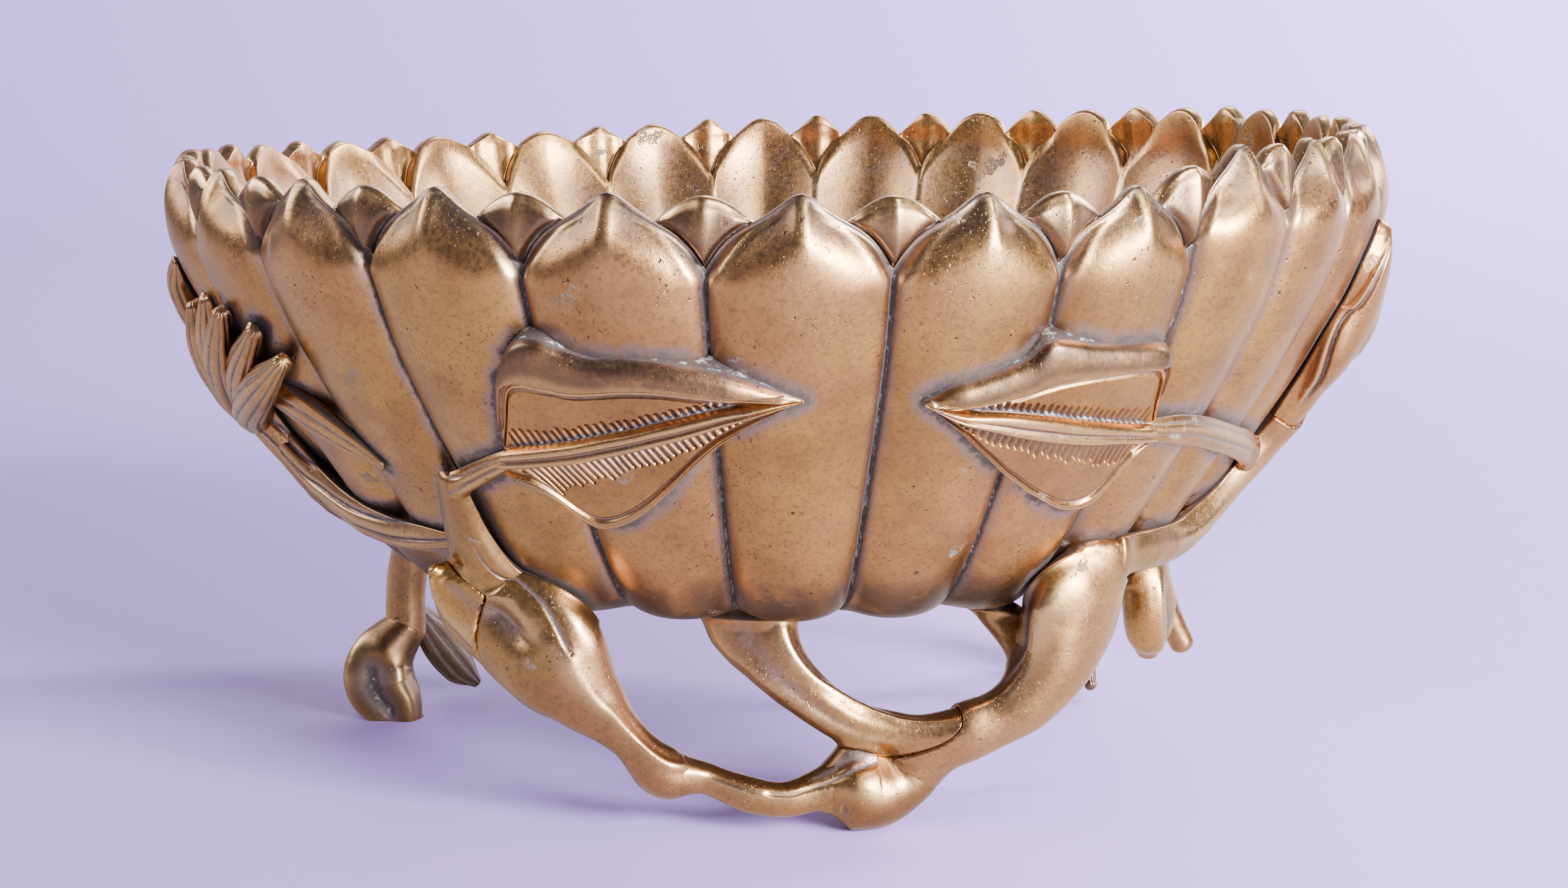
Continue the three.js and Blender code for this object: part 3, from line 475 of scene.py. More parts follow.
def bowl(contacts):
    # Each petal spans a from -1 to 1. The face of an outer petal is the wall's crest line,
    # sunk by seamDepth (1 - c), with c = sqrt(w) (1 - (|a| / w)^p)^(1/p): w is the width that
    # is left at a height, and p falls from a full pillow in the body to a keel at the tip.
    b = bowlShape
    dirtAndShade = bowlDirtAndShade
    half = b["acrossHalf"]
    even = np.linspace(-1, 1, 2 * half, endpoint=False)
    across = np.sign(even) * (1 - (1 - np.abs(even))**1.35)
    i, a = [x.ravel() for x in np.meshgrid(np.arange(b["petals"]), across, indexing="ij")]
    centre = petalAngle(i)
    beside = (petalAngle(i) + petalAngle(np.where(a < 0, i - 1, i + 1))) / 2
    angle = mix(centre, beside, np.abs(a))
    outer = np.abs(a)
    inner = 1 - outer
    outerTip = rimHeight(centre)
    innerTip = rimHeight(beside)
    rounded = np.sqrt(outer**2 + b["tipRound"]**2) - b["tipRound"]
    side = b["tipSlope"] * rounded + (1 - b["tipSlope"]) * outer**5
    outerTop = shareAtHeight(outerTip - b["tipDrop"] * side)
    innerTop = shareAtHeight(innerTip - b["innerSetback"] - b["innerDrop"] * inner**2)

    def edgeDepth(below):
        # The hood of a tip falls back further than the seam does
        return b["seamDepth"] + b["hoodDepth"] * smooth(below, 1, 9) * (1 - smooth(below, 16, 30))

    petalHalf = np.abs(np.radians(beside - centre))
    widthTable = np.linspace(0, 1, 201)
    dropTable = b["tipSlope"] * widthTable + (1 - b["tipSlope"]) * widthTable**5

    def outerFace(rise):
        share = outerTop * rise
        z = np.interp(share, wallShares, wallZ)
        drop = np.clip((outerTip - z) / b["tipDrop"], 0, 1)
        width = np.clip(np.interp(drop, dropTable, widthTable), 1e-4, 1)
        reach = np.clip(outer / width, 0, 1)
        below = np.maximum(outerTip - z, 0)
        power = mix(b["keelPower"], b["bodyPower"], smooth(below, 4.0, 16.0))
        crown = np.sqrt(width) * (1 - reach**power)**(1 / power)
        roll = b["lipRoll"] * line(reach - 0.9, 0.07) * (1 - smooth(below, 12, 20))
        depth = edgeDepth(below) * smooth(share, -0.02, 0.1)
        proud = -depth * (1 - crown) + roll * np.sqrt(width)
        seamAway = (1 - reach) * petalHalf * np.interp(share, wallShares, wallR)
        groove = (dirtAndShade["seamShare"] * (1 - smooth(seamAway, *dirtAndShade["seam"]))
                  + (1 - dirtAndShade["seamShare"]) * (1 - smooth(seamAway, *dirtAndShade["seamLine"])))
        groove = groove * (0.45 + 0.55 * smooth(below, *dirtAndShade["clearOfTip"]))
        # The crest mark is a painted highlight with some wear on the keel near a tip and on the
        # lip's roll. The shade mark is brown over the hood below a tip, less on the keel, painted
        # shade with some patina, and brown near the bottom as painted shade.
        crest = smooth(crown, 0.1, 0.5) * line(reach, 0.16) * np.exp(-below / 7)
        crest = np.maximum(crest, 1.2 * roll)
        shade = 1 - smooth(below, *dirtAndShade["tipShade"])
        shade = shade * (0.35 + 0.65 * (1 - crown)) * (1 - 0.9 * crest)
        bottom = 1 - smooth(z - b["stand"], *dirtAndShade["bottomShade"])
        shade = np.maximum(shade, dirtAndShade["bottomShadeShare"] * bottom)
        return wallPoint(angle, share, proud), groove, crest, shade

    rise = np.linspace(0, 1, b["rowsOuter"])[:, None]
    rise = 1 - (1 - rise)**1.25
    face = outerFace(rise)

    # Over the outer lip: half a circle from the face to the back of the tip, or down into
    # the gap before the inner petal
    tipHigher = outerTop >= innerTop
    edge = edgeDepth(b["tipDrop"] * side)
    backInset = edge + np.where(tipHigher, b["outerWall"], 0.5)
    t = np.linspace(0.12, 1, 6)[:, None]
    inset = mix(edge, backInset, (1 - np.cos(np.pi * t)) / 2)
    over = b["lipRise"] / wallLength * np.sin(np.pi * t)
    lipGroove = np.where(tipHigher, 0.0, smooth(t, 0.0, 0.8))
    # Its crest mark is a painted highlight over the lip, and its shade mark painted shade.
    lip = (wallPoint(angle, outerTop + over, -inset), lipGroove, 0.5 * np.sin(np.pi * t), 0.25)

    # The inner petal's face leaves the gap at once and bends back a little at its top:
    # inset = innerInset + innerCurve inner^2 - innerKeel exp(-(inner / 0.09)^2)
    t = np.linspace(0, 1, 13)[1:, None]
    share = mix(outerTop, innerTop, t)
    fromGap = (share - outerTop) * wallLength
    fromTop = (innerTop - share) * wallLength
    keel = b["innerKeel"] * line(inner, 0.09) * smooth(fromGap, 1, 6)
    faceInset = b["innerInset"] + b["innerCurve"] * inner**2 - keel
    faceInset = mix(np.maximum(backInset, faceInset), faceInset, smooth(fromGap, 0.0, 2.4))
    faceInset = faceInset + 0.6 * (1 - smooth(fromTop, 0.0, 1.4))**2
    tipBack = edge + b["outerWall"] + b["backKeel"] * (1 - smooth(outer, 0, 0.3))
    tipBack = mix(edge + b["outerWall"], tipBack, smooth(t, 0.0, 0.2))
    inset = np.where(tipHigher, tipBack, faceInset)
    behindGroove = np.where(tipHigher, 0.25 * smooth(t, 0.6, 1.0), 1 - smooth(fromGap, 0.3, 1.9))
    # The crest mark is a painted highlight on the inner petal's rim and keel, and the shade mark
    # is painted shade on the inner petal's face, set back between the outer ones, and on the back
    # of a tip.
    behindCrest = np.maximum(line(fromTop, 0.5), keel * np.exp(-fromTop / 6))
    behindCrest = np.where(tipHigher, 0.0, behindCrest)
    behindShade = np.where(tipHigher, 0.3, 0.85 * (1 - behindCrest))
    behind = (wallPoint(angle, share, -inset), behindGroove, behindCrest, behindShade)

    # Over the inner lip, and down the flutes with a ridge where two of them meet
    # The crest mark paints a highlight over the inner lip and on the ridges between the flutes,
    # and the shade mark is painted shade that deepens down the inside to the floor, where the film
    # grows too.
    t = np.linspace(0.15, 1, 5)[:, None]
    ridge = b["fluteDepth"] * inner**1.6
    insideInset = b["innerInset"] + 1.0 + b["innerWall"]
    inset = mix(inset[-1], insideInset + ridge, (1 - np.cos(np.pi * t)) / 2)
    atInner = np.where(tipHigher, 0, 1)
    over = b["innerLipRise"] / wallLength * np.sin(np.pi * t) * atInner
    innerLip = (wallPoint(angle, innerTop + over, -inset), 0.0,
                0.6 * np.sin(np.pi * t) * atInner, 0.2)
    rise = np.linspace(1, 0.1, b["rowsInside"])[1:, None]
    ridgeHere = ridge * smooth(rise, 0.08, 0.4)
    share = innerTop * rise
    inside = (wallPoint(angle, share, -insideInset - ridgeHere),
              0.3 + 0.2 * smooth(rise, 0.45, 0.1),
              smooth(inner, 0.86, 1.0) * smooth(rise, 0.2, 0.6),
              0.15 + 0.5 * smooth(rise, 0.5, 0.15))
    foot = inside[0][-1]
    floorZ = b["stand"] + b["floorThickness"]
    rings = np.array([0.975, 0.92, 0.6])[:, None, None]
    drop = np.array([0.55, 1.0, 1.0])[:, None]
    floor = np.repeat(foot[None], 3, axis=0) * rings
    floor[..., 2] = mix(foot[:, 2], floorZ, drop)
    grid, marks = joinBands(
        [face, lip, behind, innerLip, inside, (floor, 0.35, 0.0, 0.6)], 0)
    outside = slice(0, b["rowsOuter"])
    halo = 1 - smooth(nearestTo(grid[outside], contacts), *dirtAndShade["besideStem"])
    groove = marks["groove"]
    groove[outside] = np.maximum(groove[outside], dirtAndShade["stemShare"] * halo)
    grid = grid + unit(grid * [1, 1, 0]) * (ripple(grid, 26)[..., None] * b["waver"])
    poles = [[0, 0, b["stand"]], [0, 0, floorZ]]
    addPiece("bowl", "bowl", [(grid, poles, marks)], "lotusBowl")


def sweep(stations, first, last, rows):
    # The path of a chain of stations, with the frame and the half sizes at each row
    centres = np.array([s[0] for s in stations], float)
    sizes = np.array([[s[1], s[2] if len(s) > 2 else s[1]] for s in stations], float)
    whole = len(stations) - 1
    number = np.linspace(first, last, rows)
    path = spline(centres, number / whole)
    size = spline(sizes, number / whole)
    along = unit(np.gradient(path, axis=0))
    width = unit(np.cross(along, unit(path * [1, 1, 0])))
    return {"path": path, "size": size, "along": along, "width": width,
            "depth": np.cross(width, along), "number": number}


def awayFrom(points, body):
    # Distance to a swept ellipse, to first order: (r - 1) / |grad r|, with
    # r^2 = (a / w)^2 + (b / d)^2 + (l / w)^2 of the offset a, b, l from the nearest row
    flat = points.reshape(-1, 3)
    nearest = np.full(len(flat), 1e9)
    row = np.zeros(len(flat), int)
    for k, centre in enumerate(body["path"]):
        gap = ((flat - centre)**2).sum(axis=1)
        closer = gap < nearest
        nearest[closer] = gap[closer]
        row[closer] = k
    off = flat - body["path"][row]
    w, d = body["size"][row].T
    a = (off * body["width"][row]).sum(axis=1)
    b = (off * body["depth"][row]).sum(axis=1)
    beyond = (off * body["along"][row]).sum(axis=1)
    beyond = np.where(row == 0, np.minimum(beyond, 0), np.where(
        row == len(body["path"]) - 1, np.maximum(beyond, 0), 0))
    r = np.sqrt((a / w)**2 + (b / d)**2 + (beyond / w)**2) + 1e-6
    slope = np.sqrt((a / w**2)**2 + (b / d**2)**2 + (beyond / w**2)**2) / r + 1e-6
    return ((r - 1) / slope).reshape(points.shape[:-1])


def awayFromBowl(points):
    # Distance to the bowl: to its wall above its base, and to its base from below
    off = aboveWall(points)
    under = bowlShape["stand"] - points[..., 2]
    both = np.hypot(np.maximum(off, 0), np.maximum(under, 0))
    return np.where((off > 0) & (under > 0), both, np.maximum(off, under))


def aboveWall(points):
    # How far points stand out from the bowl's outer face, along its normal, in mm
    share = shareAtHeight(np.maximum(points[..., 2], bowlShape["stand"] + 1))
    wall = wallPoint(np.degrees(np.arctan2(points[..., 0], -points[..., 1])), share, 0)
    off = np.linalg.norm(points[..., :2], axis=-1) - np.linalg.norm(wall[..., :2], axis=-1)
    return off * np.interp(share, wallShares, wallNormalR)


def softLeast(a, b, reach):
    # min(a, b) less h^2 reach / 4, with h = max(reach - |a - b|, 0) / reach
    h = np.maximum(reach - np.abs(a - b), 0) / reach
    return np.minimum(a, b) - h * h * reach / 4


stemLook = {"tuck": 0.3, "tuckThin": 0.1, "dome": 0.8, "lump": 0.12, "passes": 7,
            "wallDirt": 0.85}


def stem(stations, first=0.0, last=None, rows=90, sides=48, shape=None, beside=(), reach=4.0,
         bowlReach=2.5, shade=0.0):
    # Stations of (point, half width round the bowl, half depth toward the axis) are joined by
    # splines, and swept from station number first to last. A row is the centre
    # + w cos(v) width - d sin(v) depth, so v = 270 faces out. Each point moves along its ray
    # until the soft least of its distances to this stem, to those beside it and to the bowl is 0,
    # so neighbours flow together. shape(t, v) then swells it. An end of the chain is a dome,
    # and an end inside the chain runs on a little, thinner, under its neighbour.
    whole = len(stations) - 1
    last = whole if last is None else last
    tuck = stemLook["tuck"]
    body = sweep(stations, first - tuck * (first > 0), last + tuck * (last < whole), rows)
    path, size, along, number = (body[x] for x in ("path", "size", "along", "number"))
    under = np.maximum(smooth(first - number, -0.1, tuck) * (first > 0),
                       smooth(number - last, -0.1, tuck) * (last < whole))
    size = size * (1 - stemLook["tuckThin"] * under[:, None])
    t = np.clip((number - first) / (last - first), 0, 1)
    quarter = np.linspace(0.12, 1, 7)[:-1] * np.pi / 2
    startOut = np.cos(quarter)[:, None] * -along[0] * size[0, 0] * stemLook["dome"]
    endOut = np.cos(quarter[::-1])[:, None] * along[-1] * size[-1, 0] * stemLook["dome"]
    ends = len(quarter)
    size = np.vstack([size[0] * np.sin(quarter)[:, None], size,
                      size[-1] * np.sin(quarter[::-1])[:, None]])
    path, width, depth = (np.vstack([np.repeat(x[:1], ends, 0), x, np.repeat(x[-1:], ends, 0)])
                          for x in (path, body["width"], body["depth"]))
    shift = np.vstack([startOut, np.zeros((rows, 3)), endOut])
    t = np.concatenate([np.zeros(ends), t, np.ones(ends)])
    v = np.linspace(0, 2 * np.pi, sides, endpoint=False)
    w, d = size[:, 0, None], size[:, 1, None]
    centre = path[:, None]
    grid = (centre + shift[:, None] + width[:, None] * (np.cos(v) * w)[..., None]
            - depth[:, None] * (np.sin(v) * d)[..., None])
    away = unit(grid - centre)
    moved = np.zeros(grid.shape[:2])
    fixed = 0.9 * smooth(w + 0 * moved, 0, size.max() * 0.3)
    for _ in range(stemLook["passes"]):
        bowlGap = awayFromBowl(grid)
        room = np.full(grid.shape[:2], 9.0)
        for other in beside:
            room = softLeast(room, awayFrom(grid, bodies[other]), reach)
        least = softLeast(softLeast(moved, room, reach), bowlGap, bowlReach)
        room = np.minimum(room, bowlGap)
        step = np.where(room < moved, (room - moved) / 2, -least)
        step = np.clip(step, -0.6, 0.6) * fixed
        step = np.maximum(step, -0.6 * w - moved)
        moved = moved + step
        grid = grid + away * step[..., None]
    swell, groove, crest = shape(t[:, None], np.degrees(v)[None, :]) if shape else (0, 0, 0)
    thin = np.minimum(size.min(axis=1) / size.mean(), 1)[:, None]
    free = smooth(room, 0.2, 2.5) * thin
    grid = grid + away * (swell * free + ripple(grid, 9) * stemLook["lump"] * free)[..., None]
    poles = np.stack([grid[0].mean(axis=0), grid[-1].mean(axis=0)])
    grid[..., 2] = np.maximum(grid[..., 2], 0)
    poles[:, 2] = np.maximum(poles[:, 2], 0)
    noteContacts(grid)
    nearWall = 1 - smooth(np.abs(bowlGap), 0.1, 0.9)
    # The shade mark, the same all over a stem, is painted shade.
    return grid, poles, {"groove": np.maximum(groove, stemLook["wallDirt"] * nearWall),
                         "crest": crest * free, "shade": shade}


def hump(v, centre, wide):
    # exp(-(d / wide)^2) of the angle d between v and a centre, in degrees round the stem
    return line(np.mod(v - centre + 180, 360) - 180, wide)


def span(t, low, high, soft=0.06):
    # 1 between two places along a stem, with soft ends
    return smooth(t, low - soft, low + soft) * (1 - smooth(t, high - soft, high + soft))


contactPlaces = []


def noteContacts(grid):
    # Where a piece leaves the bowl's wall, dirt gathers on the wall beside it
    near = np.abs(aboveWall(grid)) < 0.35
    near &= grid[..., 2] > bowlShape["stand"]
    contactPlaces.append(grid[near][::3])


leafLook = {
    "field": 0.9, "border": 2.1, "lowBorder": 0.5, "lowBorderWidth": 2.2, "rib": 1.5,
    "ribGroove": 0.6, "wire": 0.5, "wireWidth": 0.45, "beadGap": 1.0, "beadDepth": 0.5,
    "beadWidth": 0.3, "root": 4.6, "strokeEvery": 1.3, "strokeDepth": 0.9,
    "strokeWidth": 0.4, "leanUp": 0.35, "leanDown": 0.6, "upStroke": 4.0, "downStroke": 8.5,
    "columns": (26, 44, 24, 70),
}
# Each line of a leaf from its base to its tip, as angle and height on the bowl
frontLeftLeaf = {
    "edge": [(-27.2, 69.6), (-26, 76.6), (-24.7, 83), (-22.7, 87.4), (-20.3, 88.2), (-18, 86.4),
             (-15.6, 85.4), (-12.8, 85.6), (-9.8, 85.2), (-6.8, 84.4), (-3.8, 83.2),
             (-0.9, 81.4), (2.4, 79)],
    "bead": [(-26.9, 69.6), (-25.6, 74.2), (-24.3, 79.6), (-22.7, 80.8), (-20.6, 80.4),
             (-18.3, 79.8), (-15.8, 80), (-13, 80.5), (-10, 80.5), (-7, 79.9), (-4, 79.4),
             (-1.2, 79.2), (2.4, 79)],
    "ribTop": [(-27, 69.3), (-26.2, 69.5), (-25, 69.8), (-23.4, 70.2), (-21, 70.9),
               (-18.6, 71.8), (-16, 72.8), (-13, 74), (-10, 75.5), (-7, 76.9), (-4.1, 78.1),
               (-1.2, 78.8), (2.4, 78.9)],
    "ribFoot": [(-28.2, 66.3), (-26.9, 66.4), (-25.2, 66.6), (-23.4, 67), (-21, 67.6),
                (-18.6, 68.4), (-16, 69.4), (-13.2, 70.7), (-10.2, 72.1), (-7.2, 73.8),
                (-4.2, 75.7), (-1.2, 77.4), (2.4, 78.8)],
    "lowEdge": [(-27.8, 64.4), (-26.2, 63.3), (-24.8, 62.2), (-23, 60.2), (-21.2, 57.4),
                (-19, 55.7), (-16.3, 56.6), (-13.3, 59.4), (-10.4, 63.4), (-7.6, 68),
                (-4.7, 72.2), (-1.5, 75.8), (2.4, 78.7)],
}
frontRightLeaf = {
    "edge": [(38.9, 72.6), (38.1, 78), (37.4, 83.2), (35.8, 85.7), (32.4, 86.2), (28.6, 86.6),
             (25.5, 87.5), (23.6, 87.6), (22, 85), (19.8, 83.2), (17.6, 82), (15.3, 80.9),
             (13.1, 78.3)],
    "bead": [(38.8, 72.3), (37.7, 76.5), (36.8, 81.2), (34.3, 82), (31.6, 81.8), (29.1, 81.6),
             (26.5, 81.1), (24.1, 80.2), (21.9, 79.1), (20, 78.4), (17.8, 77.8), (15.8, 77.6),
             (13.2, 78.1)],
    "ribTop": [(39, 71.8), (38.2, 71.8), (36.8, 72), (34.8, 72.4), (32.2, 73.1), (29.4, 73.9),
               (26.8, 74.7), (24.4, 75.4), (22.1, 76), (19.9, 76.4), (17.8, 76.7), (15.7, 77),
               (13.2, 78)],
    "ribFoot": [(40.2, 69), (39.3, 69), (38, 69.1), (35.9, 69.3), (33.3, 69.5), (30.6, 69.8),
                (27.9, 70.5), (25.3, 71.3), (22.8, 72.2), (20.4, 73.3), (18, 74.5),
                (15.8, 75.8), (13.2, 77.9)],
    "lowEdge": [(40.2, 68.1), (39.4, 67.2), (38.6, 65.6), (37.9, 63.1), (37.1, 59.9),
                (35.6, 57.5), (32.9, 57.2), (29.4, 59.2), (25.6, 62.4), (22.3, 66), (19.4, 69.9),
                (16.4, 74.1), (13.3, 77.8)],
}


def strokes(x, run, t, up, seed):
    # Cut lines beside the rib: x is the distance from it, and run the length along it. The
    # depth is exp(-(d / width)^2) of the distance d to the nearest of a row of slanted lines.
    look = leafLook
    chance = np.random.default_rng(seed).uniform(0, 1, 200)
    lean = look["leanUp"] if up else -look["leanDown"]
    phase = (run[:, None] + lean * x) / look["strokeEvery"]
    number = np.clip(np.round(phase).astype(int) + 20, 0, 199)
    away = (phase - np.round(phase)) * look["strokeEvery"] + 0.2 * (chance[number] - 0.5)
    longest = look["upStroke"] if up else look["downStroke"]
    length = longest * mix(1.0, 0.22, t)[:, None] * mix(0.7, 1.0, chance[number]) + 0.6
    reaches = smooth(x, 0.15, 0.5) * (1 - smooth(x, length - 0.7, length))
    cut = line(away, look["strokeWidth"] * mix(1.15, 0.6, np.clip(x / length, 0, 1)))
    return cut * reaches * span(t, 0.1, 0.9, 0.03)[:, None]


def leaf(outline, rows, fineness, seed, by=0):
    # A leaf on the petals, from lines that run from its base to its tip: its edge, the bead at
    # its rolled border's foot, the rib's two sides and its low edge. Each strip between two
    # lines has its own height over the wall, of the distance s across it (0 to 1): the rolled
    # border sin(0.72 pi s^0.8), the field, the rib (1 - (2 s - 1)^4)^0.5 less its middle line,
    # and the field with a low border. A fine wire follows the bead between two fine lines.
    look = leafLook
    t = np.linspace(0, 1, rows)
    lines = {name: spline([(angle + by, z) for angle, z in knots], t)
             for name, knots in outline.items()}
    points = {name: onBowl(*curve.T) for name, curve in lines.items()}
    step = np.linalg.norm(np.diff(points["ribTop"], axis=0), axis=1)
    run = np.concatenate([[0], np.cumsum(step)])
    names = ("edge", "bead", "ribTop", "ribFoot", "lowEdge")
    bands = []
    for strip, (first, second) in enumerate(zip(names, names[1:])):
        count = round(look["columns"][strip] * fineness)
        s = np.linspace(0, 1, count + 1)[None, :]
        s = s if strip == 3 else s[:, :-1]
        across = np.linalg.norm(points[second] - points[first], axis=1)[:, None]
        x = s * across
        y = across - x
        beadAway = {0: y, 1: x}.get(strip, x + 9)
        tip = smooth(across, 0.3, 1.6)
        wire = line(beadAway, look["wireWidth"]) * tip
        beadLine = line(beadAway - look["beadGap"], look["beadWidth"]) * tip
        proud = look["field"] * mix(0.6, 1, tip) + look["wire"] * wire
        proud = proud - look["beadDepth"] * beadLine
        groove = 0.75 * beadLine
        # The crest mark is a painted highlight with some wear on the wire, and below on the rib's
        # two ridges and the low border.
        crest = 0.8 * wire
        shade = 0.0
        if strip == 0:
            size = np.minimum(1, across / 4.5)
            roll = np.sin(0.72 * np.pi * s**0.8)
            proud = proud + look["border"] * size * roll * smooth(y, 0.4, 1.5)
            proud = mix(proud, -0.3, np.exp(-x / 0.15))
            groove = np.maximum(groove, 1 - smooth(x, 0, 0.35))
            # A painted highlight along the roll's pale streak, and painted shade over its upper
            # half.
            crest = np.maximum(crest, 0.35 * line(s - 0.68, 0.12) * size)
            shade = 0.8 * (1 - smooth(s, 0.5, 0.85)) * size
        if strip == 1:
            cut = strokes(y, run, t, True, seed)
            proud = proud - look["strokeDepth"] * cut * smooth(x, 0.8, 1.8)
            foot = line(y - 0.12, 0.3) * tip
            proud = proud - 0.35 * foot
            root = 1 - smooth(y, 0.9, 2.0)
            chalk = (1 - smooth(y, 0.5, 1.2)) * tip * span(t, 0.1, 0.85, 0.03)[:, None]
            groove = np.maximum.reduce([groove, 0.8 * foot, chalk, cut * mix(0.8, 1, root)])
        if strip == 2:
            size = np.minimum(1, across / 2.2)
            middle = line(s - 0.5, 0.11)
            proud = proud + size * (look["rib"] * np.sqrt(np.maximum(1 - (2 * s - 1)**4, 0))
                                    - look["ribGroove"] * middle)
            groove = np.maximum(groove, 0.6 * middle * size)
            crest = np.maximum(crest, size * (line(s - 0.27, 0.12) + line(s - 0.76, 0.12)))
        if strip == 3:
            cut = strokes(x, run, t, False, seed + 9)
            wide = np.minimum(look["lowBorderWidth"], across * 0.45)
            inBorder = np.clip(y / np.maximum(wide, 0.1), 0, 1)
            cut = cut * smooth(y - wide, 0.2, 1.0)
            proud = proud - look["strokeDepth"] * cut * 0.85
            foot = line(x - 0.12, 0.3) * tip
            low = smooth(inBorder, 0, 0.3) * (1 - smooth(inBorder, 0.7, 1)) * tip
            inner = line(y - wide - 0.15, 0.28) * tip
            middle = line(y - 0.55 * wide, 0.2) * tip
            proud = proud + look["lowBorder"] * low - 0.35 * (foot + inner) - 0.25 * middle
            proud = mix(proud, -0.3, np.exp(-y / 0.15))
            groove = np.maximum.reduce([groove, 0.8 * foot, 0.7 * inner, 0.5 * middle,
                                        0.9 * cut, 1 - smooth(y, 0, 0.8)])
            crest = np.maximum(crest, 0.4 * low * (1 - middle))
        flat = mix(lines[first][:, None], lines[second][:, None], s[..., None])
        bands.append((onBowl(flat[..., 0], flat[..., 1], proud), groove, crest, shade))
    edges = [("lowEdge", 1.0), ("lowEdge", 0.5), ("ribFoot", 1.0), ("edge", 0.5), ("edge", 1.0)]
    back = np.stack([onBowl(*mix(lines["ribFoot"], lines[name], share).T, -look["root"])
                     for name, share in edges], axis=1)
    # The back, sunk in the wall, takes full groove and painted shade where the leaf's sides show.
    grid, marks = joinBands(bands + [(back, 1.0, 0.0, 1.0)], 1)
    grid = grid + (ripple(grid, 12) * 0.07)[..., None]
    poles = np.stack([grid[0].mean(axis=0), grid[-1].mean(axis=0)])
    noteContacts(grid[::3])
    return grid, poles, marks


def leaves():
    for node, outline, rows, fineness, seed, by in (
            ("front_left_leaf", frontLeftLeaf, 480, 1.0, 1, 0),
            ("front_right_leaf", frontRightLeaf, 440, 1.0, 2, 0),
            ("right_rear_leaf", frontLeftLeaf, 320, 0.7, 3, 188),
            ("left_rear_leaf", frontRightLeaf, 300, 0.7, 4, 189)):
        addPiece(node, "relief", [leaf(outline, rows, fineness, seed, by)])


leaves()
print("leaves made")



def offWall(*rows):
    # Stations that stand clear of the bowl: angle, radius, height, half width, half depth
    return [(around(angle, radius, z), wide, deep) for angle, radius, z, wide, deep in rows]


def onWall(*rows):
    # Stations on the bowl's wall: angle, height, how proud, half width, half depth
    return [(onBowl(angle, z, proud), wide, deep) for angle, z, proud, wide, deep in rows]


# The loop in front is one chain of stations: left leg, ring stem, foot and right leg
chains = {
    "loop": onWall((-36.3, 61.6, 0.3, 2.3, 1.8), (-37.9, 51.5, 0.5, 4.8, 3.0),
                   (-37.8, 43.4, 0.5, 7.0, 4.2))
    + offWall((-33.2, 74.4, 34.8, 10.4, 5.8), (-29.7, 73, 28.7, 10.2, 6.0),
              (-25.9, 71, 22.9, 6.4, 5.0), (-21.3, 68.5, 16.6, 3.5, 3.6),
              (-16.6, 66.6, 10.9, 4.3, 4.0), (-11, 63.5, 9.2, 2.7, 2.7),
              (-4.3, 63.5, 6.7, 3.0, 3.0), (1.2, 63.5, 5.9, 3.0, 3.0), (6.6, 62.4, 7.0, 3.7, 3.8),
              (11, 62, 7.4, 7.0, 6.7), (15.6, 62, 6.8, 6.6, 6.9), (20.2, 63, 8.8, 5.2, 5.2),
              (24.4, 66.2, 13.6, 4.0, 3.8), (28.8, 69.4, 17.2, 4.2, 4.0),
              (34, 73, 21.5, 5.2, 4.6), (37.8, 75.5, 28, 6.7, 5.4), (39.8, 76, 34.5, 9.0, 6.0),
              (41, 76.5, 40.5, 9.4, 6.0))
    + onWall((42.5, 45.5, -0.5, 7.0, 4.6)),
    "thorn": offWall((-33.4, 70.5, 31.4, 3.4, 2.8), (-38.2, 74.4, 34.0, 7.2, 3.3),
                     (-41.0, 78, 37.8, 7.4, 2.8), (-42.0, 81.2, 41.3, 4.4, 2.4),
                     (-42.4, 83.4, 43.7, 1.8, 1.7), (-42.4, 84.6, 45.0, 0.7, 0.8)),
    "cross": offWall((-5.4, 57, 43, 9.4, 4.2), (-5, 58, 41, 9.0, 4.0), (-3.6, 59, 35, 8.0, 4.0),
                     (-0.6, 60.5, 29.5, 5.6, 3.6), (3.6, 61.3, 24.5, 4.3, 3.5),
                     (10.0, 62.2, 19.4, 3.8, 3.5), (16.2, 63.6, 17.2, 3.5, 3.4),
                     (22, 66, 16.8, 3.0, 3.1), (27, 69, 17.8, 2.6, 2.7)),
    "strut": offWall((33.6, 60, 41, 4.0, 3.0), (35.6, 65, 35, 3.4, 2.8), (37.0, 70, 29, 2.8, 2.6)),
    "budStem": onWall((46, 46.6, 0.6, 4.0, 3.0), (53, 46.2, 0.8, 4.0, 3.4),
                      (60, 46.4, 0.8, 3.9, 3.4), (65.5, 49, 0.8, 3.7, 3.3),
                      (70, 54, 0.8, 3.4, 3.1), (72.8, 60, 1.2, 3.6, 3.4),
                      (73.6, 65.5, 1.2, 3.3, 3.3), (73.6, 70, 1.2, 3.2, 3.3)),
    "bud": onWall((73.6, 66, 1.2, 3.1, 3.2), (72.6, 73.5, 1.8, 4.6, 3.8),
                  (71.2, 80, 2.4, 6.0, 4.2), (71.6, 87, 1.8, 6.4, 4.2),
                  (70.6, 94, 0.9, 5.2, 3.6), (70.2, 99, 0.2, 2.4, 2.6)),
    "hanging": offWall((64.2, 71.8, 43, 3.6, 3.4), (64.0, 72.2, 36, 4.8, 4.2),
                       (64.4, 72.6, 31.5, 5.3, 4.4), (65.3, 72.4, 27, 4.6, 3.9),
                       (66.6, 71.8, 23.6, 2.2, 2.2)),
    "end": offWall((74, 69, 42, 2.8, 2.6), (74.8, 72, 30.6, 2.9, 2.6),
                   (75.6, 75.6, 22.4, 2.3, 2.2)),
}
bodies = {name: sweep(stations, 0, len(stations) - 1, 14 * len(stations))
          for name, stations in chains.items()}


